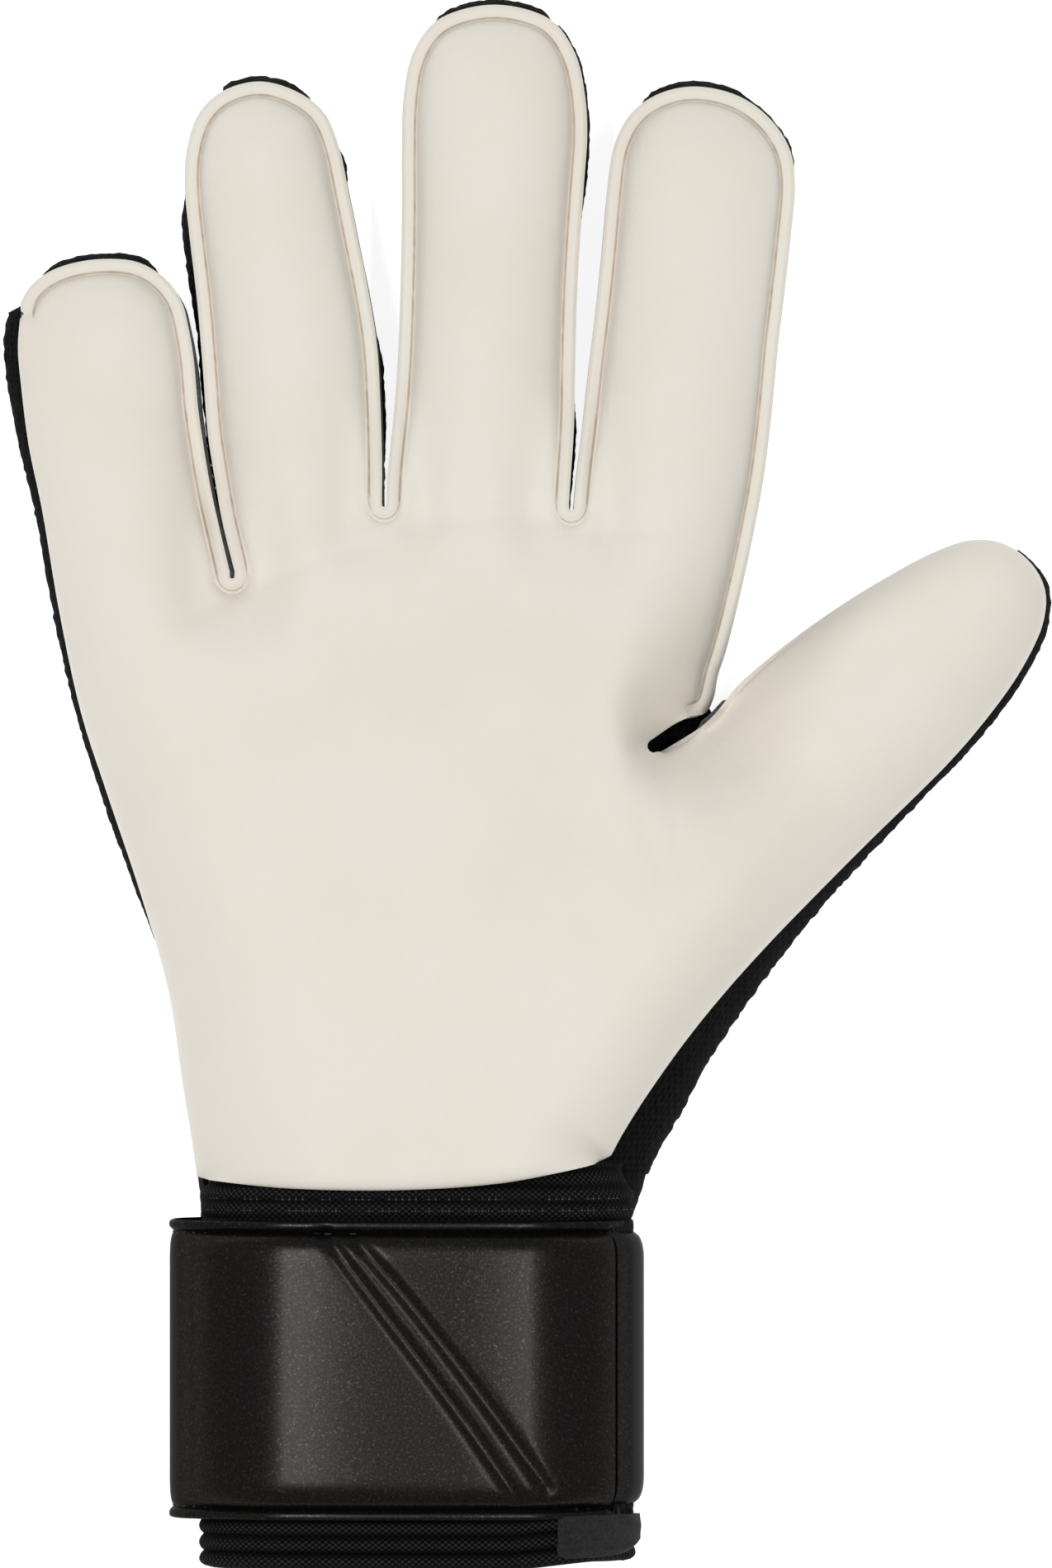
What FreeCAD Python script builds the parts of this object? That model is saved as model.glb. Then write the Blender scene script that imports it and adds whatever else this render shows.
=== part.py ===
import FreeCAD, Part
import math
import os
from FreeCAD import Placement, Rotation, Vector

# Right-hand goalkeeper glove, lying on its back: +Z out of the palm, +Y to the fingertips,
# +X to the thumb. All sizes are in millimetres.

# Sheet thicknesses and seams
latex_thickness = 4.0
back_thickness = 2.5
gusset_thickness = 1.2
lining_thickness = 1.0
flange_width = 2.6
flange_thickness = 2.6
gusset_inset = 1.4
seam_z = 16.0
back_top_z = 8.0
body_gap = 0.3

# Palm
palm_length = 117.5
knuckle_y = 48.0
palm_left_x = -85.0
wrist_left_x = -57.5
wrist_right_x = 20.0
wrist_step = 2.0
heel_step = 1.0
mid_palm_top_z = 37.0
knuckle_top_z = 27.0
heel_share = 0.3
mid_palm_share = 0.69
heel_spread = 0.18
mid_palm_spread = 0.78
root_taper = 6.0
mid_palm_flare = 12.0
heel_flare = 5.0
palm_top_radius = 14.0
knuckle_top_radius = 7.0
palm_bottom_radius = 6.0
least_radius = 2.0
underside_cut = 1.0

# Fingers: leans are in degrees, positive to the thumb side
finger_slit = 1.2
pad_radius = 7.0
stall_radius = 3.0
back_radius = 4.0
knuckle_range = 70.0
mid_range = 80.0
bend_past_hinge = 2.5
FINGERS = {
    "little": {
        "root_width": 29.6, "mid_width": 30.2, "shoulder_width": 28.0,
        "knuckle": -1.0, "mid": 19.5, "shoulder": 31.0, "tip": 44.0,
        "lean_low": -7.0, "lean_high": -3.5, "height": 24.0, "web_drop": 10.6,
    },
    "ring": {
        "root_width": 28.8, "mid_width": 30.0, "shoulder_width": 28.0,
        "knuckle": 5.5, "mid": 31.0, "shoulder": 59.0, "tip": 74.0,
        "lean_low": -3.4, "lean_high": -8.0, "height": 26.0, "web_drop": 0.0,
    },
    "middle": {
        "root_width": 31.4, "mid_width": 30.8, "shoulder_width": 31.0,
        "knuckle": 5.5, "mid": 35.0, "shoulder": 73.0, "tip": 88.3,
        "lean_low": 3.0, "lean_high": 1.7, "height": 26.5, "web_drop": 0.0,
    },
    "index": {
        "root_width": 32.4, "mid_width": 32.2, "shoulder_width": 31.8,
        "knuckle": 5.0, "mid": 31.0, "shoulder": 58.0, "tip": 73.5,
        "lean_low": 6.2, "lean_high": 5.5, "height": 26.0, "web_drop": 0.0,
    },
}

# Thumb: its own Y runs along it, from a line through the working origin
thumb_turn = 46.0
thumb_centre = 31.6
thumb_root = -25.0
thumb_base = 37.0
thumb_mid = 65.0
thumb_shoulder = 79.0
thumb_tip = 93.4
thumb_root_width = 40.0
thumb_base_width = 35.0
thumb_mid_width = 32.0
thumb_shoulder_width = 27.5
thumb_height = 30.0
thumb_radius = 11.0
thumb_rise = 8.0
thumb_base_range = 40.0
thumb_mid_range = 60.0

# Wrist bandage and cuff
bandage_thickness = 3.0
bandage_left_x = -57.0
bandage_right_x = 15.7
bandage_top_z = 45.0
bandage_roundness = 0.4325
cuff_length = 66.5
hem_length = 5.0
hem_extra = 1.4
flap_width = 12.0
flap_length = 6.5
flap_thickness = 1.5
flap_overhang = 2.0

# Wrist strap and its closing tab
strap_drop = 6.2
strap_width = 51.8
strap_thickness = 4.5
strap_back_thickness = 2.7
strap_skin = 1.2
strap_lining = 0.9
strap_flange = 2.4
tab_thickness = 3.0
tab_skin = 1.2
patch_thickness = 1.0
patch_margin = 4.0
tab_end_x = -38.0
tab_hinge_drop = 6.0
tab_range = 130.0

# Cutting tools reach well past the glove, and inner ones past outer ones
FAR = 300.0
BEYOND = 10.0
# Smallest length and volume that count
TOUCH = 1e-6
CRUMB = 1.0

wrist_y = knuckle_y - palm_length
strap_top_y = wrist_y - strap_drop
strap_bottom_y = strap_top_y - strap_width
cuff_y = wrist_y - cuff_length
flange_z = seam_z - flange_thickness
patch_z = tab_thickness + patch_thickness + body_gap
strap_back_z = patch_z + patch_thickness
bandage_bottom_z = strap_back_z + strap_back_thickness
bandage_radius = bandage_roundness * (bandage_top_z - bandage_bottom_z)
wrist_top_z = bandage_top_z + wrist_step
heel_top_z = bandage_top_z + heel_step
tab_hinge_z = bandage_top_z - tab_hinge_drop
strap_right_x = bandage_right_x + strap_thickness


def place_roots():
    """Set each finger's root centre, side by side from the little finger's outer edge."""
    edge = palm_left_x
    for finger in FINGERS.values():
        finger["root_x"] = edge + finger["root_width"] / 2
        finger["slit_x"] = edge + finger["root_width"] + finger_slit / 2
        edge += finger["root_width"] + finger_slit
    return edge - finger_slit


palm_right_x = place_roots()


def slab(x0, x1, y0, y1, z0, z1):
    """A box from its limits."""
    return Part.makeBox(x1 - x0, y1 - y0, z1 - z0, Vector(x0, y0, z0))


def finger_path(finger):
    """A finger's stations (y, centre x, width) from inside the palm to its shoulder."""
    bend = finger["mid"] + bend_past_hinge
    y_bend = knuckle_y + bend
    y_shoulder = knuckle_y + finger["shoulder"]
    x_bend = finger["root_x"] + bend * math.tan(math.radians(finger["lean_low"]))
    rise = finger["shoulder"] - bend
    x_shoulder = x_bend + rise * math.tan(math.radians(finger["lean_high"]))
    y_start = knuckle_y - finger["web_drop"] - 2 * latex_thickness
    y_root = knuckle_y - finger["web_drop"] / 2
    stations = [
        (y_start, finger["root_x"], finger["root_width"] - root_taper),
        (y_root, finger["root_x"], finger["root_width"]),
        (y_bend, x_bend, finger["mid_width"]),
        (y_shoulder, x_shoulder, finger["shoulder_width"]),
    ]
    x_tip = x_shoulder + (finger["tip"] - finger["shoulder"]) * math.tan(math.radians(finger["lean_high"]))
    return stations, (knuckle_y + finger["tip"], x_tip)


def thumb_path():
    """The thumb's stations in its own turned frame."""
    stations = [
        (thumb_root, thumb_centre, thumb_root_width),
        (thumb_base, thumb_centre, thumb_base_width),
        (thumb_mid + bend_past_hinge, thumb_centre, thumb_mid_width),
        (thumb_shoulder, thumb_centre, thumb_shoulder_width),
    ]
    return stations, (thumb_tip, thumb_centre)


def outline(path, inset):
    """The plan face of a digit, drawn in from its edge by inset."""
    stations, (tip_y, tip_x) = path
    left = [Vector(x - width / 2 + inset, y, 0) for y, x, width in stations]
    right = [Vector(x + width / 2 - inset, y, 0) for y, x, width in stations]
    edges = [Part.LineSegment(a, b).toShape() for a, b in zip(left, left[1:])]
    edges.append(Part.Arc(left[-1], Vector(tip_x, tip_y - inset, 0), right[-1]).toShape())
    back = right[::-1]
    edges += [Part.LineSegment(a, b).toShape() for a, b in zip(back, back[1:])]
    edges.append(Part.LineSegment(right[0], left[0]).toShape())
    return Part.Face(Part.Wire(edges))


def prism(path, inset, z0, z1):
    """The outline raised from z0 to z1."""
    face = outline(path, inset)
    face.translate(Vector(0, 0, z0))
    return face.extrude(Vector(0, 0, z1 - z0))


def round_rim(shape, path, z, radius):
    """Round the rim edges at height z, except the open edge at the digit's root."""
    root_y = path[0][0][0]
    rim = []
    for edge in shape.Edges:
        box = edge.BoundBox
        level = abs(box.ZMin - z) < TOUCH and abs(box.ZMax - z) < TOUCH
        if level and box.YMax > root_y + TOUCH:
            rim.append(edge)
    return shape.makeFillet(radius, rim)


def digit_layers(path, height, flange, inset, radius):
    """A digit's whole latex, side wall and back, with the outer form and the hollow that made them."""
    hollow_top = height - latex_thickness
    pad = round_rim(prism(path, flange, flange_z, height), path, height, radius)
    brim = prism(path, 0, flange_z, seam_z)
    wall = prism(path, inset, back_top_z, flange_z)
    back = round_rim(prism(path, inset, 0, back_top_z), path, 0, back_radius)
    stall = prism(path, flange + latex_thickness, flange_z, hollow_top)
    stall = round_rim(stall, path, hollow_top, stall_radius)
    hollow = prism(path, inset + gusset_thickness, back_thickness, flange_z)
    latex = pad.fuse(brim).cut(stall)
    return {
        "latex": latex,
        "gusset": wall.cut(hollow),
        "back": back.cut(hollow),
        "outer": [pad, brim, wall, back],
        "hollow": [stall, hollow],
    }


def side_region(y, z, half_angle, sign):
    """All space on one side of a hinge, with the notch above it that lets the digit close."""
    slope = math.tan(math.radians(half_angle))
    edge = y + sign * body_gap / 2
    points = [
        Vector(-FAR, edge, -FAR),
        Vector(-FAR, edge, z),
        Vector(-FAR, edge + sign * slope * FAR, z + FAR),
        Vector(-FAR, sign * 2 * FAR, z + FAR),
        Vector(-FAR, sign * 2 * FAR, -FAR),
    ]
    wire = Part.makePolygon(points + [points[0]])
    return Part.Face(wire).extrude(Vector(2 * FAR, 0, 0))


def biggest_first(shape):
    """The shape's solids, largest first, without crumbs."""
    solids = sorted(shape.Solids, key=lambda solid: -solid.Volume)
    return [solid for solid in solids if solid.Volume > CRUMB]


def one_solid(shape, name):
    """The single solid that a piece must be."""
    solids = biggest_first(shape)
    if len(solids) != 1:
        raise ValueError(f"{name} came out as {len(solids)} solids")
    return solids[0].removeSplitter()


def palm_wire(y, x0, x1, z0, z1, low_radius, high_radius):
    """A rounded rectangle across the palm or wrist at one place along it."""
    def arc(cx, cz, radius, a0):
        a1 = a0 + math.pi / 2
        mid = a0 + math.pi / 4
        ends = [Vector(cx + radius * math.cos(a), y, cz + radius * math.sin(a)) for a in (a0, mid, a1)]
        return Part.Arc(ends[0], ends[1], ends[2]).toShape()

    def line(ax, az, bx, bz):
        return Part.LineSegment(Vector(ax, y, az), Vector(bx, y, bz)).toShape()

    return Part.Wire([
        line(x0 + low_radius, z0, x1 - low_radius, z0),
        arc(x1 - low_radius, z0 + low_radius, low_radius, -math.pi / 2),
        line(x1, z0 + low_radius, x1, z1 - high_radius),
        arc(x1 - high_radius, z1 - high_radius, high_radius, 0),
        line(x1 - high_radius, z1, x0 + high_radius, z1),
        arc(x0 + high_radius, z1 - high_radius, high_radius, math.pi / 2),
        line(x0, z1 - high_radius, x0, z0 + low_radius),
        arc(x0 + low_radius, z0 + low_radius, low_radius, math.pi),
    ])


def palm_form(side, top, bottom):
    """The palm's rounded body from the wrist to the finger roots, drawn in from its sides, top and bottom."""
    spread = palm_left_x - wrist_left_x
    heel_left_x = wrist_left_x + heel_spread * spread
    mid_left_x = wrist_left_x + mid_palm_spread * spread
    rows = [
        (0.0, wrist_left_x, wrist_right_x, wrist_top_z, palm_top_radius),
        (heel_share, heel_left_x, wrist_right_x + heel_flare, heel_top_z, palm_top_radius),
        (mid_palm_share, mid_left_x, wrist_right_x + mid_palm_flare, mid_palm_top_z, palm_top_radius),
        (1.0, palm_left_x, palm_right_x, knuckle_top_z, knuckle_top_radius),
    ]
    wires = []
    for share, left, right, height, radius in rows:
        y = wrist_y + share * palm_length
        high = max(radius - top, least_radius)
        low = max(palm_bottom_radius - bottom, least_radius)
        sides = (left + side, right - side)
        wires.append(palm_wire(y, *sides, bottom - underside_cut, height - top, low, high))
    below = slab(-FAR, FAR, -FAR, FAR, -FAR, bottom)
    return Part.makeLoft(wires, True, False).cut(below)


def palm_hollow(side, top, bottom):
    """The room inside the palm, ending one latex thickness short of every web between the fingers."""
    room = palm_form(side, top, bottom)
    edge = -FAR
    web_wall = finger_slit / 2 + flange_width + latex_thickness
    for name, finger in FINGERS.items():
        far_edge = FAR if name == "index" else finger["slit_x"] + web_wall
        web_y = knuckle_y - finger["web_drop"] - latex_thickness
        room = room.cut(slab(edge, far_edge, web_y, FAR, -FAR, FAR))
        edge = far_edge
    return room


def ring(y0, y1, outer, inner):
    """A rounded-rectangle tube between two (x0, x1, z0, z1, radius) sections."""
    solids = []
    for x0, x1, z0, z1, radius in (outer, inner):
        wire = palm_wire(y0, x0, x1, z0, z1, radius, radius)
        solids.append(Part.Face(wire).extrude(Vector(0, y1 - y0, 0)))
    return solids[0].cut(solids[1])


def turned(shape):
    """A thumb shape set at the thumb's angle in plan."""
    copy = shape.copy()
    copy.rotate(Vector(0, 0, 0), Vector(0, 0, 1), -thumb_turn)
    return copy


def raised(shape):
    """A thumb shape lifted about its base hinge, in the thumb's own frame."""
    copy = shape.copy()
    copy.rotate(Vector(0, thumb_base, seam_z), Vector(1, 0, 0), thumb_rise)
    return copy


def digit_segments(name, layers, y_base, y_mid, base_range, mid_range_deg, move):
    """A digit's proximal and distal pieces, cut at its two hinges."""
    low = side_region(y_base, seam_z, base_range / 2, 1)
    low = low.common(side_region(y_mid, seam_z, mid_range_deg / 2, -1))
    high = side_region(y_mid, seam_z, mid_range_deg / 2, 1)
    pieces = {}
    for part, region in (("proximal", low), ("distal", high)):
        for layer in ("latex", "back"):
            node = f"{name}_{part}_{layer}"
            pieces[node] = one_solid(move(layers[layer].common(region)), node)
    strips = biggest_first(layers["gusset"].common(low))
    strips.sort(key=lambda solid: solid.CenterOfMass.x)
    pieces[f"{name}_proximal_gusset_outer"] = move(strips[0])
    pieces[f"{name}_proximal_gusset_inner"] = move(strips[1])
    node = f"{name}_distal_gusset"
    pieces[node] = one_solid(move(layers["gusset"].common(high)), node)
    return pieces


def fuse_all(shapes):
    """One shape from many."""
    return shapes[0].multiFuse(shapes[1:])


def hand_pieces(digits, thumb):
    """The palm, backhand, gussets and linings, with a stub for every digit."""
    palm = palm_form(0, 0, 0)
    low_web_y = knuckle_y - FINGERS["little"]["web_drop"]
    inside = palm_hollow(latex_thickness, latex_thickness, back_thickness)
    outer = []
    hollow = [inside]
    edge = -FAR
    for name, finger in FINGERS.items():
        y_base = knuckle_y + finger["knuckle"]
        before = side_region(y_base, seam_z, knuckle_range / 2, -1)
        lane = slab(edge, FAR if name == "index" else finger["slit_x"], -FAR, FAR, -FAR, FAR)
        outer.append(palm.common(lane).common(before))
        outer += [shape.common(before) for shape in digits[name]["outer"]]
        hollow += digits[name]["hollow"]
        edge = finger["slit_x"]
    before = side_region(thumb_base, seam_z, (thumb_base_range + thumb_rise) / 2, -1)
    outer += [turned(shape.common(before)) for shape in thumb["outer"]]
    hollow += [turned(shape) for shape in thumb["hollow"]]
    shell = fuse_all(outer)
    slit_x = FINGERS["little"]["slit_x"]
    slit = slab(slit_x - finger_slit / 2, slit_x + finger_slit / 2, low_web_y, FAR, -FAR, FAR)
    shell = shell.cut(slit).cut(hollow)
    pieces = {
        "palm_latex": one_solid(shell.common(slab(-FAR, FAR, -FAR, FAR, flange_z, FAR)), "palm_latex"),
        "backhand": one_solid(shell.common(slab(-FAR, FAR, -FAR, FAR, -FAR, back_top_z)), "backhand"),
    }
    band = biggest_first(shell.common(slab(-FAR, FAR, -FAR, FAR, back_top_z, flange_z)))
    pieces.update(name_gussets(band))
    pieces.update(linings(inside, digits, thumb))
    return pieces


def name_gussets(band):
    """Name the hand's side strips by where they lie."""
    strips = sorted(band, key=lambda solid: solid.CenterOfMass.x)
    names = [
        "ulnar_gusset", "little_ring_web", "ring_middle_web", "middle_index_web",
        "thumb_side_gusset", "thumb_web_gusset",
    ]
    if len(strips) != len(names):
        raise ValueError(f"the hand has {len(strips)} side strips")
    strips[4:] = sorted(strips[4:], key=lambda solid: solid.CenterOfMass.y)
    return dict(zip(names, strips))


def linings(inside, digits, thumb):
    """The soft linings behind the palm latex and over the backhand, clear of the digits' stalls."""
    skin = latex_thickness + lining_thickness
    core = palm_hollow(skin, skin, back_thickness + lining_thickness)
    stalls = [shape for name in FINGERS for shape in digits[name]["hollow"]]
    stalls += [turned(shape) for shape in thumb["hollow"]]
    sheet = inside.cut(core).cut(stalls)
    top = sheet.common(slab(-FAR, FAR, -FAR, FAR, thumb_height, FAR))
    bottom = inside.common(slab(-FAR, FAR, -FAR, FAR, 0, back_thickness + lining_thickness))
    bottom = bottom.cut(stalls)
    return {
        "palm_lining": biggest_first(top)[0],
        "backhand_lining": biggest_first(bottom)[0],
    }


def bandage_section(grow):
    """The bandage's section, grown outwards by grow."""
    return (
        bandage_left_x - grow, bandage_right_x + grow,
        bandage_bottom_z - grow, bandage_top_z + grow, bandage_radius + grow,
    )


def strap_section(share):
    """The strap's section at a share of its thickness, from its inner face to its skin."""
    return (
        bandage_left_x - share * strap_thickness, bandage_right_x + share * strap_thickness,
        bandage_bottom_z - share * strap_back_thickness, bandage_top_z + share * strap_thickness,
        bandage_radius + share * strap_back_thickness,
    )


def wrist_pieces():
    """The elastic bandage, its hem and the small overlap flap."""
    hem_y = cuff_y + hem_length
    flap_x = bandage_right_x - bandage_radius + flap_overhang
    bandage = ring(hem_y, wrist_y, bandage_section(0), bandage_section(-bandage_thickness))
    hem = ring(cuff_y, hem_y, bandage_section(0), bandage_section(-bandage_thickness - hem_extra))
    flap_y = strap_bottom_y
    flap = slab(flap_x - flap_width, flap_x, flap_y - flap_length, flap_y,
                bandage_top_z, bandage_top_z + flap_thickness)
    return {"wrist_bandage": bandage, "cuff_hem": hem, "cuff_flap": flap}


def strap_pieces():
    """The padded strap, open on the thumb side below the tab's hinge, and its loop patch."""
    lining_share = strap_lining / strap_thickness
    skin_share = 1 - strap_skin / strap_thickness
    gap_x = bandage_right_x - bandage_radius
    opening = slab(gap_x, FAR, -FAR, FAR, -FAR, tab_hinge_z + body_gap / 2)
    lining = ring(strap_bottom_y, strap_top_y, strap_section(lining_share), strap_section(0))
    full = ring(strap_bottom_y, strap_top_y, strap_section(1), strap_section(lining_share))
    foam = ring(strap_bottom_y + strap_flange, strap_top_y - strap_flange,
                strap_section(skin_share), strap_section(lining_share))
    closed_gap = slab(gap_x - strap_flange, FAR, -FAR, FAR, -FAR, tab_hinge_z + strap_flange)
    foam = foam.cut(closed_gap)
    patch = slab(tab_end_x - patch_margin, gap_x - patch_margin,
                 strap_bottom_y + patch_margin, strap_top_y - patch_margin,
                 patch_z, strap_back_z)
    return {
        "strap_lining": one_solid(lining.cut(opening), "strap_lining"),
        "strap_foam": one_solid(foam, "strap_foam"),
        "strap_skin": one_solid(full.cut(opening).cut(foam), "strap_skin"),
        "loop_patch": patch,
    }


def tab_pieces():
    """The strap's free end: it passes round the thumb side and closes over the back of the wrist."""
    corner = bandage_radius
    inner_x = bandage_right_x + body_gap
    top = tab_hinge_z - body_gap / 2

    def corner_bar(inset, y_in):
        outer = (tab_end_x - FAR, strap_right_x - inset, inset, FAR, corner)
        wall_in = max(tab_thickness - inset, 0)
        inner = (tab_end_x - FAR - BEYOND, inner_x, inset + wall_in, FAR + BEYOND, corner - tab_thickness)
        bar = ring(strap_bottom_y + y_in, strap_top_y - y_in, outer, inner)
        return bar.common(slab(tab_end_x + y_in, FAR, -FAR, FAR, -FAR, top - y_in))

    full = corner_bar(0, 0)
    foam = corner_bar(tab_skin, strap_flange)
    hook = slab(tab_end_x + patch_margin, bandage_right_x - corner - patch_margin,
                strap_bottom_y + patch_margin, strap_top_y - patch_margin,
                tab_thickness, tab_thickness + patch_thickness)
    return {
        "tab_foam": one_solid(foam, "tab_foam"),
        "tab_skin": one_solid(full.cut(foam), "tab_skin"),
        "hook_patch": hook,
    }


def build():
    """Every node's solid, in the working frame."""
    digits = {}
    pieces = {}
    for name, finger in FINGERS.items():
        path = finger_path(finger)
        digits[name] = digit_layers(path, finger["height"], flange_width, gusset_inset, pad_radius)
        pieces.update(digit_segments(
            name, digits[name], knuckle_y + finger["knuckle"], knuckle_y + finger["mid"],
            knuckle_range, mid_range, lambda shape: shape))
    thumb = digit_layers(thumb_path(), thumb_height, 0.0, 0.0, thumb_radius)
    pieces.update(digit_segments(
        "thumb", thumb, thumb_base, thumb_mid, thumb_base_range + thumb_rise, thumb_mid_range,
        lambda shape: turned(raised(shape))))
    pieces.update(hand_pieces(digits, thumb))
    pieces.update(wrist_pieces())
    pieces.update(strap_pieces())
    pieces.update(tab_pieces())
    return pieces


def hinges():
    """Each joint's point and axis in the working frame."""
    rows = {}
    for name, finger in FINGERS.items():
        slope = math.tan(math.radians(finger["lean_low"]))
        for joint in ("knuckle", "mid"):
            x = finger["root_x"] + finger[joint] * slope
            rows[f"{name}_{joint}"] = (Vector(x, knuckle_y + finger[joint], seam_z), Vector(1, 0, 0))
    turn = Rotation(Vector(0, 0, 1), -thumb_turn)
    lift = Placement(Vector(0, 0, 0), Rotation(Vector(1, 0, 0), thumb_rise), Vector(0, thumb_base, seam_z))
    across = turn.multVec(Vector(1, 0, 0))
    base = Vector(thumb_centre, thumb_base, seam_z)
    tip = lift.multVec(Vector(thumb_centre, thumb_mid, seam_z))
    rows["thumb_base"] = (turn.multVec(base), across)
    rows["thumb_tip"] = (turn.multVec(tip), across)
    strap_mid_y = (strap_top_y + strap_bottom_y) / 2
    rows["strap_tab"] = (Vector(strap_right_x, strap_mid_y, tab_hinge_z), Vector(0, -1, 0))
    return rows


def origin_shift(pieces):
    """The move that puts the origin in the middle of the glove's plan; its underside is already at zero."""
    box = Part.makeCompound(list(pieces.values())).BoundBox
    return Vector(-box.Center.x, -box.Center.y, 0)


os.makedirs("parts", exist_ok=True)
glove = build()
shift = origin_shift(glove)
for node, shape in glove.items():
    shape.translate(shift)
    shape.exportStep(f"parts/{node}.step")
    print(f"{node:32s} {len(shape.Solids)} solid  {shape.Volume:10.1f} mm3  valid {shape.isValid()}")
print("shift", shift, "nodes", len(glove))
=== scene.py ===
import math

import bmesh
import bpy
import numpy as np
from mathutils import Matrix, Vector, noise


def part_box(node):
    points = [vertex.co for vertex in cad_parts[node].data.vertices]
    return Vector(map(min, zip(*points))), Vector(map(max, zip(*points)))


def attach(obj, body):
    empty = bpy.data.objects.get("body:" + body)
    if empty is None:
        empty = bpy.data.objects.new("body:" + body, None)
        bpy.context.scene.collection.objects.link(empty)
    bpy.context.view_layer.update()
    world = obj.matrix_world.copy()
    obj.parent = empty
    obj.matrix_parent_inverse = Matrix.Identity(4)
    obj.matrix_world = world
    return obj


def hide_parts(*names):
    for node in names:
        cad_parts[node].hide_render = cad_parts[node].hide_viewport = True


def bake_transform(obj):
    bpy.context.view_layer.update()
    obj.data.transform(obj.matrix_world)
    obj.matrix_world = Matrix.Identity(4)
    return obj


bl_info = {
    "name": "Goalkeeper glove",
    "version": (1, 0, 0),
    "blender": (4, 5, 0),
    "location": "3D View > Sidebar > Glove",
    "description": "Builds a right-hand goalkeeper glove piece by piece",
    "category": "Object",
}

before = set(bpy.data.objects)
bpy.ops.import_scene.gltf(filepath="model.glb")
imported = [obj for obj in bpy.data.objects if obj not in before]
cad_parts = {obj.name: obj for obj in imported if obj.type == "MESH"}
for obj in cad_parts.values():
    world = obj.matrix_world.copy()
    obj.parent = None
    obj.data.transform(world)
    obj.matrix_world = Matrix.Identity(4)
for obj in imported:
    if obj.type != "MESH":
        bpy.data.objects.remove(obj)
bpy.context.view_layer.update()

# Lengths in this file are millimetres in the glove's own plan, with its origin between the finger roots
# and the wrist, unless a comment says otherwise. MM and SHIFT take them to the frame's metres.
MM = 0.001
BANDAGE_LEFT = -57.0
BANDAGE_TOP = -69.5
_low, _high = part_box("wrist_bandage")
SHIFT = Vector((_low.x / MM - BANDAGE_LEFT, _high.y / MM - BANDAGE_TOP, 0.0))

# Plan of the latex front, clockwise from the wrist at the little-finger side.
PALM_SIDE = [
    (-57.4, -68.4), (-58.5, -61.0), (-60.0, -52.0), (-62.5, -36.0), (-67.4, -18.8), (-73.2, -1.5),
    (-77.8, 12.9), (-81.5, 30.2), (-84.4, 47.4), (-86.8, 59.0), (-88.2, 70.0), (-88.7, 76.5), (-88.2, 82.6),
]
LITTLE_TIP = [
    (-88.3, 84.0), (-86.6, 86.9), (-83.4, 89.4), (-79.0, 91.0), (-73.7, 91.7), (-68.0, 91.2),
    (-63.4, 88.6), (-60.3, 84.6), (-59.0, 80.0), (-58.0, 74.0), (-57.3, 66.0), (-56.3, 59.0),
    (-55.0, 51.5), (-53.3, 44.0),
]
RING = [
    (-52.9, 45.5), (-54.3, 53.2), (-55.6, 61.5), (-56.4, 72.0), (-57.4, 84.0),
    (-58.8, 96.0), (-59.6, 104.5), (-59.2, 111.0), (-57.2, 117.0), (-53.0, 121.0), (-46.6, 122.7),
    (-40.2, 121.0), (-35.2, 117.2), (-32.6, 111.0), (-31.2, 104.5), (-29.2, 94.5), (-27.4, 85.5),
    (-26.0, 76.3), (-25.4, 66.0), (-25.1, 56.0),
]
MIDDLE = [
    (-24.2, 53.2), (-23.7, 58.5), (-22.9, 66.5), (-22.3, 76.3), (-21.9, 88.0), (-21.7, 100.0),
    (-21.7, 111.0), (-21.4, 120.0), (-19.7, 127.8), (-15.0, 133.7), (-5.6, 136.1), (3.8, 133.8),
    (8.4, 128.0), (10.2, 121.0), (10.7, 113.5), (10.1, 104.5), (9.4, 94.5), (8.9, 85.0), (8.6, 74.0),
    (8.4, 63.0), (7.9, 55.0),
]
INDEX = [
    (8.9, 55.0), (9.9, 63.0), (11.1, 74.0), (12.2, 83.0), (13.3, 93.5), (14.3, 104.5), (15.4, 111.5),
    (18.4, 117.2), (23.6, 120.7), (30.0, 121.8), (37.0, 120.2), (42.4, 116.4), (46.0, 111.0),
    (47.0, 104.5), (46.3, 96.0), (45.2, 86.0), (44.0, 76.0), (43.0, 65.5), (41.6, 54.0), (39.6, 43.0),
    (37.3, 32.5), (35.2, 24.0), (33.6, 19.0), (33.0, 15.6), (32.2, 13.4),
]
LUMP = [(31.5, 12.5), (30.7, 12.1)]
POCKET = [(29.0, 11.9), (26.0, 10.5), (22.9, 8.4)]
POCKET_END = (22.3, 6.6, 1.15)
THUMB = [
    (24.2, 5.5), (26.6, 6.6), (29.6, 8.7), (33.4, 12.0), (39.2, 18.2), (46.1, 24.3), (53.9, 30.2),
    (62.8, 36.0), (70.6, 40.2), (77.4, 42.5), (83.4, 41.8), (88.0, 38.4), (90.4, 33.8), (90.2, 28.6),
    (88.2, 23.4), (84.6, 17.2), (79.6, 10.5), (74.2, 4.2), (68.2, -1.9), (59.6, -10.3), (51.0, -18.9),
    (42.6, -27.5), (34.7, -36.2), (27.7, -44.8), (21.4, -53.6), (17.0, -60.5), (14.8, -64.6),
]
WRIST_EDGE = [
    (13.0, -65.6), (9.1, -66.6), (-5.3, -69.2), (-22.6, -70.3), (-41.3, -70.0), (-55.0, -68.8),
]
WEBS = {"little": (-51.2, 35.8), "ring": (-24.7, 48.3), "middle": (7.9, 47.7)}
WEB_HALF = 0.42
WEB_RISE = 0.8
SPLINE_PARTS = 24

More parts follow.
